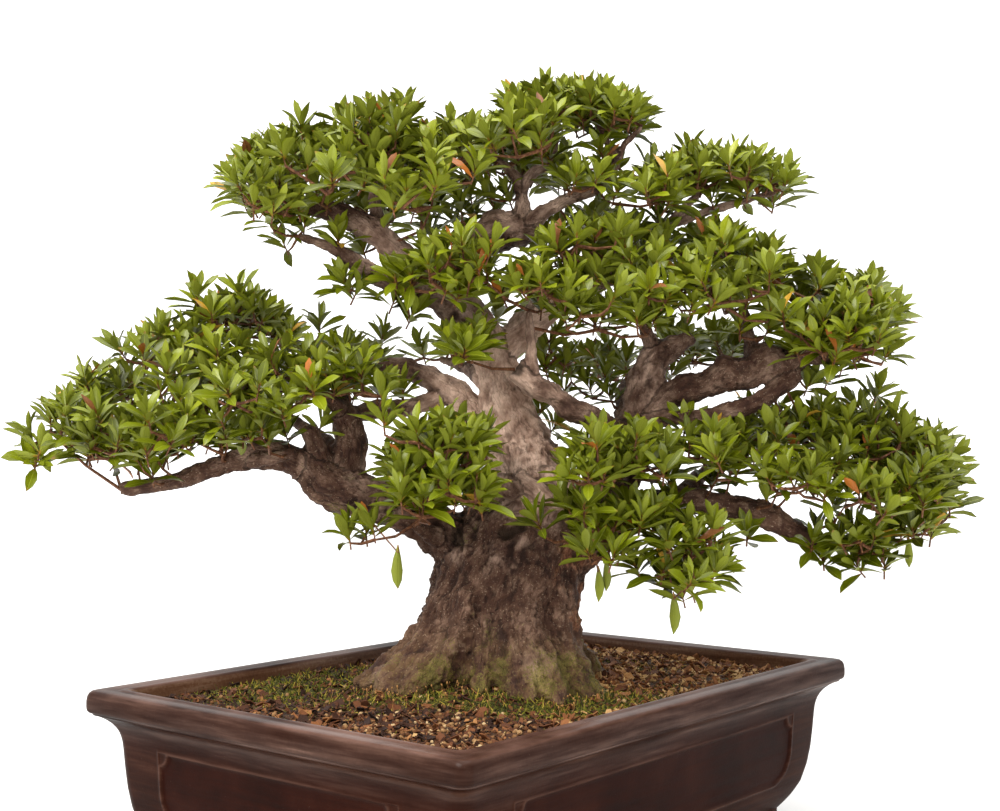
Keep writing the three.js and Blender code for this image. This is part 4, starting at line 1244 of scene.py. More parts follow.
def wood_body(skin_size, draw):
    """The wood's skin with its bark, hollows and moss, turned to its place."""
    routes = [TRUNK] + [out_of_trunk(route) for route in ROOTS] + RIDGES + THICK_LIMBS + THIN_LIMBS
    routes = [smooth_route(route, ROUTE_SPACING) for route in routes]
    bm = one_skin(wood_tubes(routes), skin_size)
    points = np.array([vertex.co for vertex in bm.verts])
    trunk_and_limbs = [0] + list(range(1 + len(ROOTS) + len(RIDGES), len(routes)))
    grains = grain_of(points, [routes[i] for i in trunk_and_limbs])
    even_skin(bm, grains)
    grain_layer = bm.verts.layers.float_vector.new("grain")
    patch_layer = bm.verts.layers.float_vector.new("patch")
    hollow_layer = bm.verts.layers.float.new("hollow")
    raised_layer = bm.verts.layers.float.new("raised")
    for vertex, grain in zip(bm.verts, grains):
        point = vertex.co.copy()
        turn, length, girth, number = grain[:4]
        vertex[raised_layer], burls = bark_height(point, grain)
        dip, vertex[hollow_layer] = hollow_at(point, vertex.normal)
        vertex.co += vertex.normal * (vertex[raised_layer] + burls + dip)
        shown = max(1, girth) * MM
        vertex[grain_layer] = (math.cos(turn) * shown, math.sin(turn) * shown, length * MM + number)
        vertex[patch_layer] = [spots_at(point, spots) for spots in (WOOD_MOSS, WOOD_RUST, WOOD_PALE)]
    bm.normal_update()
    scarred(bm, hollow_layer, draw, grains)
    bmesh.ops.transform(bm, matrix=TREE_FROM_MM, verts=bm.verts)
    smoothed(bm)
    bmesh.ops.recalc_face_normals(bm, faces=bm.faces)
    return bm


def bark_finish():
    """Grey-brown flaking bark with moss low on it, red-brown strings, paler bare wood, and painted shade in
    its furrows and hollows.
    """
    f = Finish("Bark", Specular_IOR_Level=0.25)
    grain = f.attribute("grain")
    moss, rust, pale = f.parts(f.attribute("patch"))
    hollow = f.attribute("hollow", "Fac")
    height = f.parts(f.where)[2]

    strings = f.noise(f.scaled(f.warped(grain, 90, 0.006), (1, 1, 0.24)), 380, 5, 0.66)
    plates = f.cells(f.scaled(grain, (1, 1, 0.34)), 210)
    cracks = f.cells(f.scaled(f.warped(grain, 160, 0.004), (1, 1, 0.25)), 190, "DISTANCE_TO_EDGE")
    raised = f.attribute("raised", "Fac")
    broad = f.noise(f.where, 55, 4)
    dots = f.noise(f.where, 640, 2)
    grit = f.noise(f.where, 1700, 2, 0.7)

    # the tone is lighter on raised bark and darker in its furrows
    lighter_when_raised = raised * 0.055
    tone = f.ramp(broad + (strings - 0.5) * 0.6 + lighter_when_raised, [
        (0.26, (0.030, 0.0105, 0.0055)), (0.40, (0.060, 0.0255, 0.0145)), (0.54, (0.100, 0.050, 0.030)),
        (0.72, (0.195, 0.113, 0.076)),
    ])
    bare = f.ramp(broad + (strings - 0.5) * 0.5 + lighter_when_raised, [
        (0.20, (0.175, 0.095, 0.064)), (0.38, (0.360, 0.222, 0.158)), (0.62, (0.70, 0.49, 0.375)),
    ])
    upper = height.above(0.22, 0.34) * 0.40
    waist = height.above(0.262, 0.232) * height.above(0.155, 0.185)
    tone = f.mix(tone, (0.046, 0.019, 0.010), waist * (broad + strings).above(1.10, 0.80) * 0.4)
    colour = f.mix(tone, bare, (pale + upper + (broad - 0.5) * 0.9).above(0.30, 1.30))
    colour = f.mix(colour, (0.42, 0.30, 0.21), dots.above(0.625, 0.68) * broad.above(0.34, 0.48) * 0.55)
    red = f.ramp(strings, [
        (0.35, (0.070, 0.022, 0.010)), (0.52, (0.200, 0.078, 0.038)), (0.68, (0.40, 0.22, 0.13)),
    ])
    stringy = rust + (broad - 0.5) * 1.6 + (strings - 0.5) * 0.6
    colour = f.mix(colour, red, stringy.above(0.45, 0.68) * 0.85)
    crack = cracks.above(0.040, 0.004) * broad.above(0.40, 0.56)
    dark = (0.022, 0.009, 0.005)
    knots = f.noise(f.scaled(grain, (1, 1, 0.6)), 130, 3, 0.55)
    plain = 1 - pale.above(0.3, 1.3) * 0.65
    colour = f.mix(colour, dark, knots.above(0.60, 0.72) * plain * 0.30)
    colour = f.mix(colour, (0.33, 0.225, 0.155), knots.above(0.43, 0.33) * strings.above(0.40, 0.60) * 0.28)
    colour = f.mix(colour, dark, crack * 0.25)
    # painted shade: the bark is darker in its deep furrows and creases
    colour = f.mix(colour, dark, raised.above(-0.5, -2.5) * plain * 0.75)
    green = f.ramp(grit + raised * 0.05, [
        (0.30, (0.040, 0.034, 0.004)), (0.52, (0.100, 0.086, 0.011)), (0.75, (0.27, 0.205, 0.050)),
    ])
    low = height.above(0.205, 0.150)
    colour = f.mix(colour, (0.105, 0.058, 0.018), low * (broad + strings).above(0.75, 1.15) * 0.7)
    # painted shade deep in the hollows and in the dips of the pruning scars
    colour = f.mix(colour, (0.034, 0.019, 0.010), hollow.above(0.30, 0.80) * 0.85)
    mossy = moss * 0.8 + low * 0.2 + (broad - 0.5) * 2.2 + (grit - 0.5) * 0.5 + (dots - 0.5) * 1.6
    colour = f.mix(colour, green, mossy.above(0.42, 0.85) * 0.8)

    relief = strings * 0.9 + plates * 0.35 + crack * -0.2 + dots * 0.25 - knots.above(0.50, 0.70) * 0.8
    normal = f.bump(relief, 0.0026, 1.0)
    normal = f.bump(grit, 0.0003, 0.6, normal)
    return f.done(Base_Color=colour, Roughness=0.62 + strings * 0.25, Normal=normal)


# ------------------------------------------------------------------ leaves and twigs

LEAF_ASPECT = 0.325
LEAF_THICKNESS = 0.018  # of its length
LEAF_END = 0.012  # half the width of its two ends, of its length
LEAF_FIRST_ANGLE = 66  # from the shoot, in degrees, at the outside of the whorl
LEAF_CLOSING = 50  # how much steeper the innermost leaf stands
OLD_LEAF_CHANCE = 0.014
OLD_LEAF_TINTS = (1.2, 1.4, 1.6)  # yellow, orange and brown
GOLDEN_ANGLE = math.radians(137.5)

# The leaves' shapes: (arch, fold, curl, twist).
LEAF_SHAPES = [
    (0.5, 0.35, 0.1, 0.1), (0.2, 0.5, -0.1, -0.15), (0.8, 0.3, 0.15, 0.2), (-0.2, 0.45, 0.05, 0.0),
    (0.45, 0.2, -0.15, -0.3),
]

SHOOT_LENGTH = 11
SHOOT_STALK = 5  # bare twig below its leaves
SHOOT_REACH = (15, 50)
SHOOT_RISE = 15
SHOOT_TRIES = 260
SHOOT_CLEARANCE = 8  # between a shoot and the wood
SHOOT_INSIDE = 0.012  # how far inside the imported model's box a shoot ends, to keep its leaves near the box
PAD_MARGIN = 15  # how far inside a pad's outline its shoots end
TWIG_RADIUS = (1.5, 0.8)
EYE = (8, -1200, 345)  # where the outlines below are seen from

# The clipped pads of foliage as their outlines look from the front: (x, z, half width, half height).
PADS = [
    # low left, upper left
    (-308, 366, 78, 53), (-262, 390, 52, 60), (-213, 396, 74, 76), (-128, 385, 62, 54), (-163, 560, 69, 52),
    (-86, 570, 62, 66), (-42, 498, 63, 50), (-72, 477, 25, 23),
    # top, upper right
    (64, 600, 82, 52), (-20, 588, 36, 33), (190, 559, 77, 34),
    # middle right
    (100, 484, 80, 57), (190, 465, 76, 66), (282, 449, 70, 50), (84, 402, 44, 26), (42, 469, 50, 27),
    (-21, 427, 32, 22),
    # low right
    (304, 312, 92, 75), (360, 310, 45, 56), (214, 343, 50, 42),
    # front
    (-42, 314, 55, 60), (109, 309, 67, 57), (168, 246, 47, 45), (92, 242, 50, 34),
]

# Openings in the pads, where wood or sky shows from the front: (x, z, half width, half height).
OPENINGS = [
    (-32, 262, 40, 34), (-62, 614, 12, 16), (-10, 624, 30, 12), (114, 592, 14, 18), (222, 518, 22, 14),
    (284, 502, 44, 11), (354, 428, 14, 30), (192, 362, 24, 10), (296, 386, 28, 10), (386, 364, 18, 14),
    (192, 212, 28, 18), (106, 304, 18, 12), (10, 385, 20, 36), (-220, 590, 16, 16),
    (-124, 528, 30, 12), (-86, 502, 24, 15), (-58, 474, 20, 13),
]

# Further shoots, which fill the pads between the sprays' own: (x, y, z).
FURTHER_SHOOTS = [
    # left
    (-312, -4, 420), (-212, 0, 470), (-245, -4, 468), (-384, -12, 348), (-374, -20, 326), (-263, -40, 334),
    (-168, -30, 350), (-138, -20, 358), (-62, -30, 448), (-108, -30, 468), (-126, -26, 512),
    (-112, -66, 272), (-280, 8, 436), (-372, -18, 338), (-120, -30, 474), (-78, -22, 462), (-76, 30, 388),
    (-99, -62, 274),
    # top
    (14, 10, 552), (-4, 14, 557), (-26, 20, 545), (80, 22, 532), (92, 10, 541), (186, 0, 545),
    (140, -10, 530), (2, 42, 548), (-16, 46, 540), (-53, 30, 526), (-34, 40, 536), (64, 42, 532),
    (48, 50, 524), (-112, 30, 512),
    # middle
    (56, 30, 436), (66, 30, 414), (46, 24, 408), (100, 22, 384), (284, -4, 399), (268, 0, 392),
    (160, -24, 356), (6, 34, 454), (52, 34, 424), (84, 42, 392), (68, 50, 408), (100, 38, 402), (62, 44, 390),
    (118, 44, 412), (58, 44, 358), (44, 40, 372), (158, 42, 404), (296, -8, 410),
    # low right
    (144, -44, 314), (168, -34, 330), (208, -42, 268), (302, -12, 240), (328, -8, 243), (276, -12, 246),
    (370, 0, 268), (204, 22, 318), (188, 12, 310), (304, -12, 252), (330, 8, 258),
]

# Single leaves that hang: (x, y, z, length).
HANGING = [
    (-71, -90, 262, 34), (142, -92, 226, 33), (84, -92, 246, 28), (90, -90, 252, 26), (352, 4, 262, 26),
]


def leaf_stamp(name, arch, fold, curl, twist):
    """One leaf of length 1 that grows along +Y from the origin, face up, closed, with thin edges.

    Its blade layer holds the place across it, the place along it and 0 above, 1 below and 0.5 at its edge.
    """
    bm = bmesh.new()
    bmesh.ops.create_grid(bm, x_segments=2, y_segments=4, size=0.5)
    blade = bm.verts.layers.float_vector.new("blade")
    rim = {vertex for vertex in bm.verts if vertex.is_boundary}
    copies = bmesh.ops.duplicate(bm, geom=bm.verts[:] + bm.edges[:] + bm.faces[:])["geom"]
    bmesh.ops.reverse_faces(bm, faces=parts_of(copies, bmesh.types.BMFace))
    below = set(parts_of(copies, bmesh.types.BMVert))
    for vertex in bm.verts:
        across, along = vertex.co.x * 2, vertex.co.y + 0.5
        along += 0.10 * math.sin(math.pi * along)
        half = LEAF_ASPECT / 2 * math.sin(math.pi * min(1, along ** 1.38 * 0.985 + 0.012)) ** 0.80
        half = max(half, LEAF_END)
        middle = abs(across) < 0.5
        drop = LEAF_THICKNESS if vertex in below and middle and 0.01 < along < 0.99 else 0
        vertex[blade] = (across, along, 0.5 if not middle else 1 if vertex in below else 0)
        x = across * half * math.cos(fold)
        rise = abs(across) * half * math.sin(fold) - drop + curl * math.sin(6 * along + 2) * across * half
        bend = arch * along
        lean = twist * along
        x, rise = x * math.cos(lean) - rise * math.sin(lean), x * math.sin(lean) + rise * math.cos(lean)
        out, down = math.sin(bend) / arch, (1 - math.cos(bend)) / arch
        vertex.co = (x, out + rise * math.sin(bend), rise * math.cos(bend) - down)
    bmesh.ops.remove_doubles(bm, verts=bm.verts, dist=1e-5)
    return Stamp(name, bm, sharp=70)


def twig_stamp():
    """A thin rod of length 1 along +Z."""
    bm = bmesh.new()
    bmesh.ops.create_cone(bm, cap_ends=True, segments=4, radius1=1, radius2=0.75, depth=1)
    bmesh.ops.translate(bm, vec=(0, 0, 0.5), verts=bm.verts)
    bm.verts.layers.float_vector.new("blade")
    return Stamp("twig", bm)


def limb_places():
    """Places along the middle of every limb that a twig may grow from."""
    places = []
    for route in THICK_LIMBS + THIN_LIMBS:
        steps = smooth_route(route, 8)
        places += steps[max(1, len(steps) // 12):]
    return places


def nearest_bud(target, buds):
    """The bud that a twig to some place grows from most readily, which is a near one that isn't above it."""
    def effort(bud):
        return (bud - target).length + 0.7 * max(0, bud.z - target.z)

    return min((bud for bud, _ in buds), key=effort)


def inside_wood(point, margin, buds):
    return any((point - bud).length < radius + margin for bud, radius in buds)


def in_a_pad(point):
    """Whether a place lies well inside the outline of some pad, seen from the front."""
    eye_x, eye_y, eye_z = EYE
    nearer = -eye_y / (point.y - eye_y)
    x, z = eye_x + (point.x - eye_x) * nearer, eye_z + (point.z - eye_z) * nearer

    def within(row, margin):
        middle_x, middle_z, width, height = row
        return ((x - middle_x) / (width - margin)) ** 2 + ((z - middle_z) / (height - margin)) ** 2 < 1

    return any(within(row, PAD_MARGIN) for row in PADS) and not any(within(row, 0) for row in OPENINGS)


def kept_in(end):
    """The end of a shoot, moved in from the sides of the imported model's box where it lies too near them."""
    low, high = CAD_BOX
    point = TREE @ (end * MM)
    inside = [min(b - SHOOT_INSIDE, max(a + SHOOT_INSIDE, value)) for a, b, value in zip(low, high, point)]
    return TREE.inverted() @ Vector(inside) / MM


def shoot_places(centres, draw, buds, taken, settings):
    """Ends for the shoots of a spray: its own centres and drawn places near them, clear of one another."""
    spacing = settings.shoot_spacing / MM
    ends = []
    for centre in centres:
        ends.append(centre)
        taken.append(centre)
        found = 0
        for _ in range(SHOOT_TRIES):
            if found == settings.shoots_round_centre:
                break
            heading = draw.uniform(0, 2 * math.pi)
            reach = SHOOT_REACH[0] + (SHOOT_REACH[1] - SHOOT_REACH[0]) * math.sqrt(draw.random())
            rise = draw.uniform(-SHOOT_RISE, SHOOT_RISE)
            point = centre + Vector((reach * math.cos(heading), reach * math.sin(heading), rise))
            if not in_a_pad(point) or inside_wood(point, SHOOT_CLEARANCE, buds):
                continue
            if any((point - other).length < spacing for other in taken):
                continue
            ends.append(point)
            taken.append(point)
            found += 1
    return ends


def nearest_spray(x, y, z):
    """The number of the spray that has the centre nearest to a place."""
    target = Vector((x, y, z))

    def distance(number):
        return min((Vector(centre) - target).length for centre in SPRAYS[number])

    return min(range(len(SPRAYS)), key=distance)


def pressed_rod(bm, stamp, start, end, radius):
    """A rod between two places."""
    run = end - start
    size = Matrix.Diagonal((radius, radius, run.length, 1))
    stamp.press(bm, Matrix.Translation(start) @ turned_to(run) @ size, 0.5, 1)


def pressed_shoot(bm, leaves, rod, end, axis, draw, tone_and_painted_shade, settings):
    """One shoot: a whorl of leaves that stand out round its end, the inner ones steeper."""
    spin = draw.uniform(0, 2 * math.pi)
    count = settings.leaves_on_shoot + draw.choice((-2, -1, 0, 1, 2))
    turn = turned_to(axis)
    for i in range(count):
        share = i / (count - 1)
        heading = spin + i * GOLDEN_ANGLE
        leaning = math.radians(LEAF_FIRST_ANGLE - LEAF_CLOSING * share ** 1.1 + draw.uniform(-13, 13))
        length = settings.leaf_length / MM * (1.04 - 0.30 * share) * draw.uniform(0.86, 1.16)
        base = Matrix.Translation((0, 0, -SHOOT_LENGTH * (1 - share)))
        leaf = Matrix.Rotation(heading, 4, "Z") @ base @ Matrix.Rotation(math.pi / 2 - leaning, 4, "X")
        roll = Matrix.Rotation(draw.gauss(0, 0.22), 4, "Y")
        tint = min(0.98, max(0.02, tone_and_painted_shade + 0.16 * share + draw.gauss(0, 0.09)))
        if draw.random() < OLD_LEAF_CHANCE:
            tint = draw.choice(OLD_LEAF_TINTS)
        size = Matrix.Diagonal((length * draw.uniform(0.88, 1.14), length, length, 1))
        draw.choice(leaves).press(bm, Matrix.Translation(end) @ turn @ leaf @ roll @ size, tint)
    pressed_rod(bm, rod, end - axis * (SHOOT_LENGTH + SHOOT_STALK), end, TWIG_RADIUS[1])


def pressed_hanging(bm, leaf, rod, ends, draw, x, y, z, length):
    """A leaf that hangs on a twig from the nearest shoot."""
    top = Vector((x, y, z))
    near = min(ends, key=lambda end: (top - end).length)
    pressed_rod(bm, rod, near, top - Vector((0, 0, 0.18 * length)), TWIG_RADIUS[1])
    down = Matrix.Rotation(draw.uniform(-0.5, 0.5), 4, "Z") @ Matrix.Rotation(math.radians(-84), 4, "X")
    leaf.press(bm, Matrix.Translation(top) @ down @ Matrix.Scale(length, 4), draw.uniform(0.3, 0.6))


def spray_body(number, leaves, rod, draw, buds, taken, settings):
    """One spray of leaves on its twigs, in the tree's millimetres and then turned to its place."""
    bm = bmesh.new()
    centres = [Vector(centre) for centre in SPRAYS[number]]
    root = nearest_bud(centres[0], buds)
    ends = shoot_places(centres, draw, buds, taken, settings)
    ends += [Vector(row) for row in FURTHER_SHOOTS if nearest_spray(*row) == number]
    ends = [kept_in(end) for end in ends]
    joints = []
    for end in ends:
        starts = [root, nearest_bud(end, buds), *joints]
        start = min(starts, key=lambda joint: (joint - end).length + 0.5 * max(0, joint.z - end.z + 6))
        run = end - start
        upward = Vector((draw.gauss(0, 0.2), draw.gauss(0, 0.2) - 0.12, 0.95))
        facing = (run.normalized() * 0.5 + upward).normalized()
        below = end - facing * min(run.length * 0.4, SHOOT_LENGTH + SHOOT_STALK)
        sag = Vector((draw.gauss(0, 1), draw.gauss(0, 1), -1)) * 0.07 * run.length
        middle = start.lerp(below, 0.55) + sag
        pressed_rod(bm, rod, start, middle, TWIG_RADIUS[0])
        pressed_rod(bm, rod, middle, below, (TWIG_RADIUS[0] + TWIG_RADIUS[1]) / 2)
        pressed_rod(bm, rod, below, end, TWIG_RADIUS[1])
        joints += [middle, below]
        # painted shade: shoots low in the tree get darker leaves, for the shade that they stand in
        tone_and_painted_shade = draw.uniform(0.2, 0.6) - 0.14 * clamped((440 - end.z) / 110)  # darker low down
        pressed_shoot(bm, leaves, rod, end, facing, draw, tone_and_painted_shade, settings)
    for row in HANGING:
        if nearest_spray(*row[:3]) == number:
            pressed_hanging(bm, leaves[1], rod, ends, draw, *row)
    bmesh.ops.transform(bm, matrix=TREE_FROM_MM, verts=bm.verts)
    return bm


def leaf_finish(settings):
    """Leathery green leaves: a paler midrib and underside, and some yellow, orange or brown ones."""
    f = Finish("Leaf", Specular_IOR_Level=0.08, Coat_Roughness=0.27)
    across, along, under = f.parts(f.attribute("blade"))
    tint = f.attribute("tint", "Fac")
    blotch = f.noise(f.where, 90, 3)
    fine = f.noise(f.where, 700, 2)
    off_rib = across.math("ABSOLUTE")
    veins = (along * 7.5 - off_rib * 2.2).math("FRACT")
    vein = (veins - 0.5).math("ABSOLUTE").above(0.40, 0.5)

    green = f.ramp(tint + (blotch - 0.5) * 0.35, [
        (0.05, (0.050, 0.060, 0.0010)), (0.30, (0.098, 0.120, 0.0016)), (0.55, (0.152, 0.180, 0.0028)),
        (0.80, (0.212, 0.240, 0.0085)), (1.0, (0.31, 0.325, 0.034)),
    ])
    colour = f.mix(green, settings.midrib_colour, off_rib.above(0.16, 0.02) * 0.5)
    colour = f.mix(colour, (0.20, 0.22, 0.016), vein * 0.16)
    colour = f.mix(colour, settings.underside_colour, under.above(0.52, 0.60) * 0.7)
    colour = f.mix(colour, (0.22, 0.085, 0.018), (along + (blotch - 0.5) * 0.5).above(0.93, 1.05) * 0.6)
    colour = f.mix(colour, (0.27, 0.105, 0.012), (along + off_rib * 0.12).above(0.27, 0.05) * 0.85)
    old = f.ramp((tint - 1.15) * 2 + (fine - 0.5) * 0.2, [
        (0.0, (0.45, 0.30, 0.035)), (0.35, (0.42, 0.13, 0.016)), (1.0, (0.13, 0.055, 0.022)),
    ])
    colour = f.mix(colour, old, tint.above(1.05, 1.1))
    relief = off_rib.above(0.14, 0.0) * -0.8 + vein * -0.35 + fine * 0.3
    normal = f.bump(relief, 0.0004, 0.8)
    coat = 0.60 - under * 0.54
    return f.done(Base_Color=colour, Roughness=0.42 + fine * 0.18, Coat_Weight=coat, Normal=normal)


def twig_finish():
    """Thin red-brown bark."""
    f = Finish("Twig", Specular_IOR_Level=0.3)
    grain = f.noise(f.where, 400, 3)
    colour = f.ramp(grain, [
        (0.35, (0.060, 0.020, 0.008)), (0.55, (0.130, 0.050, 0.020)), (0.70, (0.24, 0.115, 0.055)),
    ])
    return f.done(Base_Color=colour, Roughness=0.6 + grain * 0.2, Normal=f.bump(grain, 0.0004, 0.6))


# ------------------------------------------------------------------ the pot's and the soil's finishes

LIP_TOP = 0.148
LIP_RIDGE = 0.1303  # height of the fine ridge under the lip
LIP_WIDTH = 0.0236


def clay_finish():
    """Unglazed dark red-brown clay, burnished in level strokes: greyer on the lip, partly painted sheen, with
    painted highlights on its edges, and dusty inside.
    """
    f = Finish("Pot clay", Specular_IOR_Level=0.02, Coat_Roughness=0.25)
    x, y, height = f.parts(f.where)
    broad = f.noise(f.where, 18, 3, 0.55)
    strokes = f.noise(f.scaled(f.warped(f.where, 10, 0.004), (1, 1, 16)), 10, 5, 0.62)
    fine = f.noise(f.where, 420, 4, 0.65)
    specks = f.cells(f.where, 460)
    grey = f.ramp(strokes + (fine - 0.5) * 0.12 + (broad - 0.5) * 0.3, [
        (0.28, (0.0120, 0.0035, 0.0018)), (0.50, (0.0255, 0.0092, 0.0050)), (0.66, (0.049, 0.0215, 0.0132)),
        (0.80, (0.100, 0.053, 0.037)),
    ])
    red = f.ramp(broad + (strokes - 0.5) * 0.5 + (fine - 0.5) * 0.1, [
        (0.30, (0.0082, 0.0013, 0.0003)), (0.50, (0.0138, 0.0023, 0.0007)), (0.72, (0.0215, 0.0048, 0.002)),
    ])
    # the lip takes the greyer, lighter strokes: partly the burnished clay's own colour, partly painted sheen
    lip = (height + (strokes - 0.5) * 0.016).above(0.101, 0.130)
    relief = f.attribute("relief", "Fac")
    colour = f.mix(red, grey, lip.math("MAXIMUM", relief.above(-0.9, -0.3) * 0.35))
    # painted highlight along the raised bead round each panel, which also stands for the wear on its edge
    bead = relief.above(-0.1, 0.9) * strokes.above(0.30, 0.60)
    colour = f.mix(colour, (0.120, 0.062, 0.045), bead * 0.36)
    # painted highlight on the rim's top face
    top = height.above(LIP_TOP - 0.0025, LIP_TOP - 0.0002)
    colour = f.mix(colour, (0.150, 0.082, 0.064), top * (strokes + broad).above(0.70, 1.25) * 0.55)
    # painted highlight along the fine ridge under the lip
    ridge = (height - LIP_RIDGE).math("ABSOLUTE").above(0.0012, 0.0003)
    colour = f.mix(colour, (0.16, 0.10, 0.080), ridge * strokes.above(0.35, 0.65) * 0.5)
    colour = f.mix(colour, (0.13, 0.085, 0.068), specks.above(0.14, 0.05) * fine.above(0.52, 0.66) * 0.45)
    dust = f.ramp(strokes + (fine - 0.5) * 0.4, [
        (0.30, (0.058, 0.025, 0.012)), (0.52, (0.115, 0.054, 0.028)), (0.75, (0.20, 0.120, 0.075)),
    ])
    inside = height.above(0.112, 0.124)
    for place, middle, size in ((x, POT_MIDDLE.x, POT_LENGTH), (y, POT_MIDDLE.y, POT_WIDTH)):
        off_middle = (place - middle).math("ABSOLUTE")
        inside = inside * off_middle.above(size / 2 - LIP_WIDTH, size / 2 - LIP_WIDTH - 0.002)
    colour = f.mix(colour, dust, inside * 0.8)
    rough = 0.42 + (fine - 0.5) * 0.2 + (strokes - 0.5) * 0.3
    normal = f.bump(strokes, 0.0012, 0.35)
    normal = f.bump(fine + specks * 0.3, 0.0003, 0.35, normal)
    coat = lip * strokes.above(0.25, 0.75) * 0.22 + 0.02
    return f.done(Base_Color=colour, Roughness=rough, Coat_Weight=coat, Normal=normal)


def netting_finish():
    """Dark green-grey plastic."""
    f = Finish("Netting plastic", Specular_IOR_Level=0.5)
    grain = f.noise(f.where, 300, 3)
    colour = f.mix((0.020, 0.026, 0.022), (0.040, 0.048, 0.040), grain)
    return f.done(Base_Color=colour, Roughness=0.45 + grain * 0.15, Normal=f.bump(grain, 0.0002, 0.4))


def soil_finish():
    """Dark damp soil with painted shade in the gaps between its crumbs, green where moss grows on it."""
    f = Finish("Soil", Specular_IOR_Level=0.25)
    crumbs = f.cells(f.where, 260)
    broad = f.noise(f.where, 30, 4)
    fine = f.noise(f.where, 600, 4, 0.65)
    colour = f.ramp(fine + (broad - 0.5) * 0.7, [
        (0.28, (0.016, 0.007, 0.003)), (0.48, (0.050, 0.022, 0.009)), (0.62, (0.100, 0.046, 0.019)),
        (0.78, (0.190, 0.100, 0.042)),
    ])
    # painted shade in the gaps between the crumbs
    colour = f.mix(colour, (0.012, 0.007, 0.005), crumbs.above(0.42, 0.62) * 0.7)
    green = f.ramp(fine + (broad - 0.5) * 0.4, [
        (0.34, (0.020, 0.017, 0.002)), (0.52, (0.070, 0.068, 0.005)), (0.68, (0.165, 0.140, 0.012)),
    ])
    mossy = f.attribute("mossy", "Fac") + (fine - 0.5) * 0.8
    colour = f.mix(colour, green, mossy.above(0.35, 0.75) * 0.85)
    normal = f.bump(crumbs * -1.0 + fine * 0.6, 0.0022, 0.9)
    return f.done(Base_Color=colour, Roughness=0.86 + fine * 0.12, Normal=normal)


def litter_finish():
    """Curled flakes of bark and dead leaf, each of its own brown."""
    f = Finish("Litter", Specular_IOR_Level=0.28)
    tint = f.attribute("tint", "Fac")
    fine = f.noise(f.where, 800, 3, 0.6)
    colour = f.ramp(tint + (fine - 0.5) * 0.25, [
        (0.05, (0.016, 0.0045, 0.0013)), (0.30, (0.046, 0.0135, 0.0036)), (0.52, (0.100, 0.031, 0.008)),
        (0.72, (0.185, 0.066, 0.018)), (0.88, (0.28, 0.130, 0.040)), (1.0, (0.42, 0.26, 0.105)),
    ])
    return f.done(Base_Color=colour, Roughness=0.66 + fine * 0.2, Normal=f.bump(fine, 0.0006, 0.7))


def granule_finish():
    """Porous tan and reddish granules."""
    f = Finish("Granules", Specular_IOR_Level=0.2)
    tint = f.attribute("tint", "Fac")
    fine = f.noise(f.where, 900, 3, 0.6)
    colour = f.ramp(tint + (fine - 0.5) * 0.3, [
        (0.05, (0.030, 0.010, 0.003)), (0.35, (0.070, 0.025, 0.008)), (0.60, (0.135, 0.058, 0.020)),
        (0.82, (0.26, 0.145, 0.060)), (1.0, (0.46, 0.33, 0.175)),
    ])
    return f.done(Base_Color=colour, Roughness=0.8 + fine * 0.15, Normal=f.bump(fine, 0.0006, 0.8))


def moss_finish():
    """Moss, each strand of its own green, and its stalks brown."""
    f = Finish("Moss", Specular_IOR_Level=0.25)
    tint = f.attribute("tint", "Fac")
    patches = f.noise(f.where, 60, 3)
    colour = f.ramp(tint + (patches - 0.5) * 0.6, [
        (0.08, (0.018, 0.015, 0.002)), (0.38, (0.038, 0.044, 0.003)), (0.66, (0.112, 0.114, 0.006)),
        (0.92, (0.29, 0.215, 0.028)),
    ])
    colour = f.mix(colour, (0.30, 0.150, 0.045), tint.above(1.1, 1.2))
    return f.done(Base_Color=colour, Roughness=0.7 + patches * 0.2)


def floor_finish(colour):
    """A matt floor, slightly darker than its colour in places."""
    f = Finish("Floor", Specular_IOR_Level=0.2)
    broad = f.noise(f.where, 3, 3)
    darker = [0.962 * part for part in colour]
    return f.done(Base_Color=f.mix(darker, colour, broad), Roughness=0.75 + broad * 0.1)


# ------------------------------------------------------------------ stage and camera

CAMERA_PLACE = Vector((8, -1201, 345))
CAMERA_PITCH = math.radians(1.29)  # upwards
CAMERA_LENS = 51.48
CAMERA_SENSOR = 36
FLOOR_RADIUS = 4.0
LIGHTS_AIM = Vector((0, 0, 0.3))


def area_light(name, where, size, power, colour):
    """A soft square light that faces the tree, with its place in the tree's frame but in metres."""
    lamp = bpy.data.lights.new(name, "AREA")
    lamp.shape = "SQUARE"
    lamp.size = size
    lamp.energy = power
    lamp.color = colour
    piece = bpy.data.objects.new(name, lamp)
    stand = TREE @ Vector(where)
    piece.matrix_world = Matrix.Translation(stand) @ turned_to(stand - TREE @ LIGHTS_AIM)
    bpy.context.scene.collection.objects.link(piece)
    return piece


# ------------------------------------------------------------------ settings


class FoliageSettings(bpy.types.PropertyGroup):
    """Sizes and counts of the leaves and their shoots."""

    leaf_length: bpy.props.FloatProperty(
        name="Leaf length", description="Length of a full leaf", default=0.028, min=0.005, unit="LENGTH")
    leaves_on_shoot: bpy.props.IntProperty(
        name="Leaves on a shoot", description="Average number of leaves round a shoot's end", default=11,
        min=4)
    shoots_round_centre: bpy.props.IntProperty(
        name="Shoots", description="Shoots drawn round each centre of a spray", default=13, min=0)
    shoot_spacing: bpy.props.FloatProperty(
        name="Shoot spacing", description="Least distance between two shoots", default=0.016, min=0.005,
        unit="LENGTH")
    midrib_colour: bpy.props.FloatVectorProperty(
        name="Midrib", description="Colour along the middle of a leaf", default=(0.27, 0.30, 0.022),
        subtype="COLOR", min=0, max=1)
    underside_colour: bpy.props.FloatVectorProperty(
        name="Underside", description="Colour of a leaf's underside", default=(0.190, 0.215, 0.026),
        subtype="COLOR", min=0, max=1)


class WoodSettings(bpy.types.PropertyGroup):
    """How finely the wood is meshed."""

    skin_size: bpy.props.FloatProperty(
        name="Skin size", description="Size of the faces of the wood", default=0.0024, min=0.001,
        unit="LENGTH")


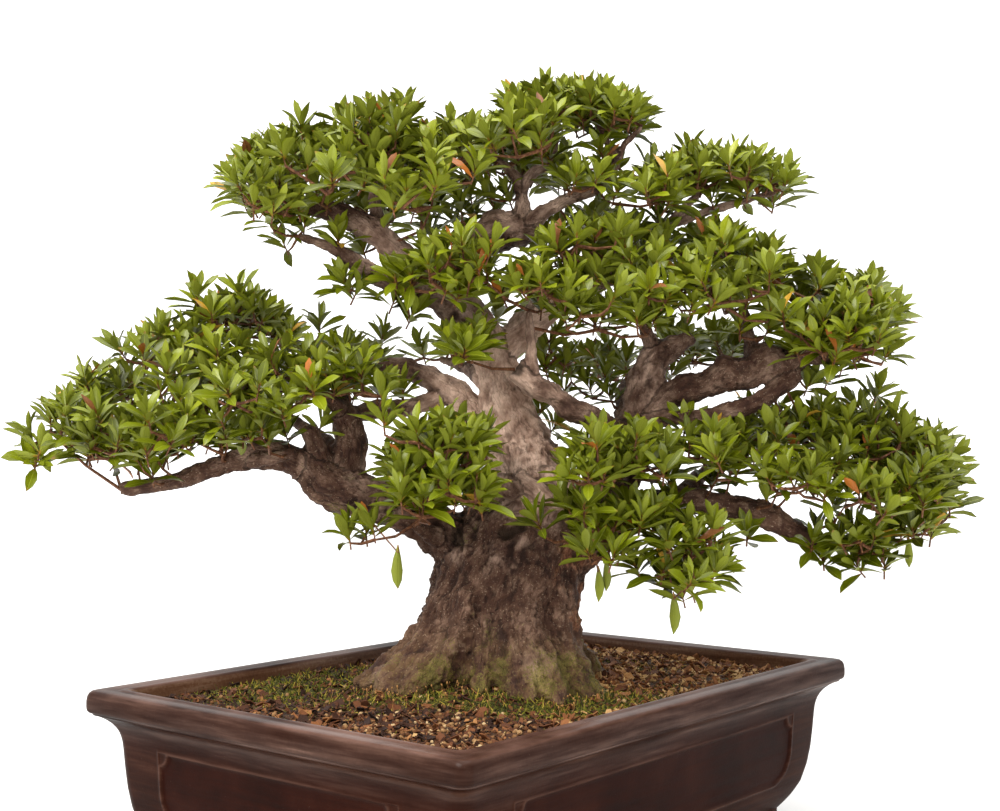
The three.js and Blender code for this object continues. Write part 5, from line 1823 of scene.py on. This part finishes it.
class SoilSettings(bpy.types.PropertyGroup):
    """What lies on the soil and how much of it."""

    spacing: bpy.props.FloatProperty(
        name="Soil spacing", description="Spacing of the soil's surface points", default=0.0036, min=0.001,
        unit="LENGTH")
    flakes: bpy.props.IntProperty(
        name="Flakes", description="Curled flakes of bark and dead leaf", default=6400, min=0)
    granules: bpy.props.IntProperty(
        name="Granules", description="Fired clay granules", default=2000, min=0)
    stalks: bpy.props.IntProperty(
        name="Moss stalks", description="Thin stalks with heads", default=120, min=0)
    strands: bpy.props.IntProperty(
        name="Moss strands", description="Single strands of moss", default=6600, min=0)


class StageSettings(bpy.types.PropertyGroup):
    """The floor and the light on it."""

    key_power: bpy.props.FloatProperty(
        name="Key light", description="Power of the main light", default=50, min=0, unit="POWER")
    fill_power: bpy.props.FloatProperty(
        name="Fill light", description="Power of the light from the other side", default=7, min=0,
        unit="POWER")
    top_power: bpy.props.FloatProperty(
        name="Top light", description="Power of the light from above", default=27, min=0, unit="POWER")
    sky: bpy.props.FloatProperty(
        name="Sky", description="Strength of the even light all round", default=1.6, min=0)
    floor_colour: bpy.props.FloatVectorProperty(
        name="Floor", description="Colour of the floor", default=(0.79, 0.787, 0.780), subtype="COLOR",
        min=0, max=1)


class BonsaiSettings(bpy.types.PropertyGroup):
    """Settings of the whole bonsai."""

    seed: bpy.props.IntProperty(
        name="Seed", description="Start of the draws for leaves, bark, litter and moss", default=11, min=1)
    foliage: bpy.props.PointerProperty(
        type=FoliageSettings, name="Foliage", description="Leaves and shoots")
    wood: bpy.props.PointerProperty(type=WoodSettings, name="Wood", description="Trunk, roots and limbs")
    soil: bpy.props.PointerProperty(type=SoilSettings, name="Soil", description="Soil, litter and moss")
    stage: bpy.props.PointerProperty(type=StageSettings, name="Stage", description="Floor and lights")


# ------------------------------------------------------------------ operators


class Undoable:
    """What all of the operators share."""

    bl_options = {"REGISTER", "UNDO"}


class BONSAI_OT_camera(Undoable, bpy.types.Operator):
    """Add the camera, at eye height before the tree's front"""

    bl_idname = "bonsai.camera"
    bl_label = "Camera"

    def execute(self, context):
        lens = bpy.data.cameras.new("Camera")
        lens.lens = CAMERA_LENS
        lens.sensor_width = CAMERA_SENSOR
        lens.clip_start = 0.05
        camera = bpy.data.objects.new("Camera", lens)
        turn = Matrix.Rotation(math.pi / 2 + CAMERA_PITCH, 4, "X")
        camera.matrix_world = TREE @ Matrix.Translation(CAMERA_PLACE * MM) @ turn
        context.scene.collection.objects.link(camera)
        context.scene.camera = camera
        return {"FINISHED"}


class BONSAI_OT_stage(Undoable, bpy.types.Operator):
    """Add the floor, the lights and the sky"""

    bl_idname = "bonsai.stage"
    bl_label = "Stage"

    def execute(self, context):
        settings = context.scene.bonsai.stage
        bm = bmesh.new()
        bmesh.ops.create_circle(bm, cap_ends=True, segments=96, radius=FLOOR_RADIUS)
        placed(bm, "floor", floor_finish(settings.floor_colour))
        area_light("key light", (-1.05, -1.25, 1.7), 1.3, settings.key_power, (1.0, 0.98, 0.95))
        area_light("fill light", (0.7, -1.8, 0.6), 1.6, settings.fill_power, (1.0, 0.94, 0.90))
        area_light("top light", (0.25, -0.3, 2.3), 1.8, settings.top_power, (1.0, 1.0, 0.98))
        world = bpy.data.worlds.new("Sky")
        world.use_nodes = True
        background = world.node_tree.nodes["Background"]
        background.inputs["Color"].default_value = (1.0, 0.995, 0.985, 1.0)
        background.inputs["Strength"].default_value = settings.sky
        context.scene.world = world
        context.scene.view_settings.view_transform = "Standard"
        return {"FINISHED"}


class BONSAI_OT_pot(Undoable, bpy.types.Operator):
    """Add the pot with its panels, lip and cloud feet"""

    bl_idname = "bonsai.pot"
    bl_label = "Pot"

    def execute(self, context):
        finished(pot_body(), "pot_body", [clay_finish()], ["pot"])
        return {"FINISHED"}


class BONSAI_OT_netting(Undoable, bpy.types.Operator):
    """Add the netting over the drainage holes"""

    bl_idname = "bonsai.netting"
    bl_label = "Netting"

    def execute(self, context):
        finish = netting_finish()
        for number, x in enumerate(DRAIN_PLACES, 1):
            finished(drain_netting(x), f"netting_{number}", [finish], [f"drain_mesh_{number}"])
        return {"FINISHED"}


class BONSAI_OT_soil(Undoable, bpy.types.Operator):
    """Add the soil that fills the pot"""

    bl_idname = "bonsai.soil"
    bl_label = "Soil"

    def execute(self, context):
        bm = soil_body(context.scene.bonsai.soil.spacing)
        finished(bm, "soil_body", [soil_finish()], ["soil"])
        return {"FINISHED"}


class BONSAI_OT_litter(Undoable, bpy.types.Operator):
    """Strew flakes of bark, dead leaves and granules on the soil"""

    bl_idname = "bonsai.litter"
    bl_label = "Litter"

    def execute(self, context):
        settings = context.scene.bonsai
        counts = settings.soil
        draw = random.Random(settings.seed)
        flakes = [Stamp(f"flake {i}", curled_flake(*row)) for i, row in enumerate(FLAKE_SHAPES)]
        bm = strewn(flakes, counts.flakes, draw, flake_size, 0.1, 0.45, flake_chance, flake_tint)
        finished(bm, "litter", [litter_finish()])
        granules = [Stamp(f"granule {i}", granule(draw, 0.7 + 0.1 * i)) for i in range(4)]
        bm = strewn(granules, counts.granules, draw, granule_size, 0.25, 0.4, granule_chance, granule_tint)
        finished(bm, "granules", [granule_finish()])
        return {"FINISHED"}


class BONSAI_OT_moss(Undoable, bpy.types.Operator):
    """Grow strands and stalks of moss on the soil"""

    bl_idname = "bonsai.moss"
    bl_label = "Moss"

    def execute(self, context):
        settings = context.scene.bonsai
        counts = settings.soil
        draw = random.Random(settings.seed + 1)
        finish = moss_finish()
        strands = [Stamp(f"strand {i}", moss_strand(0.5 * i - 0.3, 0.18)) for i in range(4)]
        bm = strewn(strands, counts.strands, draw, strand_size, -0.05, 1.1, moss_chance, strand_tint)
        finished(bm, "moss", [finish])
        stalks = [Stamp("stalk", moss_stalk())]
        bm = strewn(stalks, counts.stalks, draw, stalk_size, 0, 0.3, stalk_chance, stalk_tint)
        finished(bm, "moss_stalks", [finish])
        return {"FINISHED"}


class BONSAI_OT_wood(Undoable, bpy.types.Operator):
    """Add the roots, trunk and limbs"""

    bl_idname = "bonsai.wood"
    bl_label = "Wood"

    def execute(self, context):
        settings = context.scene.bonsai
        noise.seed_set(settings.seed)  # noise_vector would otherwise start from the clock
        bm = wood_body(settings.wood.skin_size / MM, random.Random(settings.seed + 3))
        finished(bm, "wood_body", [bark_finish()], ["wood"])
        return {"FINISHED"}


class BONSAI_OT_sprays(Undoable, bpy.types.Operator):
    """Add the leafy sprays on their twigs"""

    bl_idname = "bonsai.sprays"
    bl_label = "Sprays"

    def execute(self, context):
        settings = context.scene.bonsai
        draw = random.Random(settings.seed + 2)
        finishes = [leaf_finish(settings.foliage), twig_finish()]
        leaves = [leaf_stamp(f"leaf {i}", *shape) for i, shape in enumerate(LEAF_SHAPES)]
        rod = twig_stamp()
        buds = limb_places()
        taken = []
        for number in range(len(SPRAYS)):
            bm = spray_body(number, leaves, rod, draw, buds, taken, settings.foliage)
            finished(bm, f"leaves_{number + 1:02}", finishes, [f"spray_{number + 1:02}"])
        return {"FINISHED"}


# ------------------------------------------------------------------ panel and registration


class BONSAI_PT_panel(bpy.types.Panel):
    """Buttons and settings of the bonsai"""

    bl_idname = "BONSAI_PT_panel"
    bl_label = "Azalea Bonsai"
    bl_space_type = "VIEW_3D"
    bl_region_type = "UI"
    bl_category = "Bonsai"

    def draw(self, context):
        settings = context.scene.bonsai
        self.layout.prop(settings, "seed")
        for group in (settings.foliage, settings.wood, settings.soil, settings.stage):
            box = self.layout.box()
            for name in group.bl_rna.properties.keys():
                if name not in ("rna_type", "name"):
                    box.prop(group, name)
        for operator in OPERATORS:
            self.layout.operator(operator.bl_idname)


SETTINGS = (FoliageSettings, WoodSettings, SoilSettings, StageSettings, BonsaiSettings)
OPERATORS = (
    BONSAI_OT_camera, BONSAI_OT_stage, BONSAI_OT_pot, BONSAI_OT_netting, BONSAI_OT_soil, BONSAI_OT_litter,
    BONSAI_OT_moss, BONSAI_OT_wood, BONSAI_OT_sprays,
)


def register():
    for kind in (*SETTINGS, *OPERATORS, BONSAI_PT_panel):
        bpy.utils.register_class(kind)
    bpy.types.Scene.bonsai = bpy.props.PointerProperty(
        type=BonsaiSettings, name="Bonsai", description="Settings of the azalea bonsai")


def unregister():
    del bpy.types.Scene.bonsai
    for kind in reversed((*SETTINGS, *OPERATORS, BONSAI_PT_panel)):
        bpy.utils.unregister_class(kind)


def main():
    register()
    bpy.ops.bonsai.camera()
    bpy.ops.bonsai.stage()
    bpy.ops.bonsai.pot()
    bpy.ops.bonsai.netting()
    bpy.ops.bonsai.soil()
    bpy.ops.bonsai.litter()
    bpy.ops.bonsai.moss()
    bpy.ops.bonsai.wood()
    bpy.ops.bonsai.sprays()


if __name__ == "__main__":
    main()
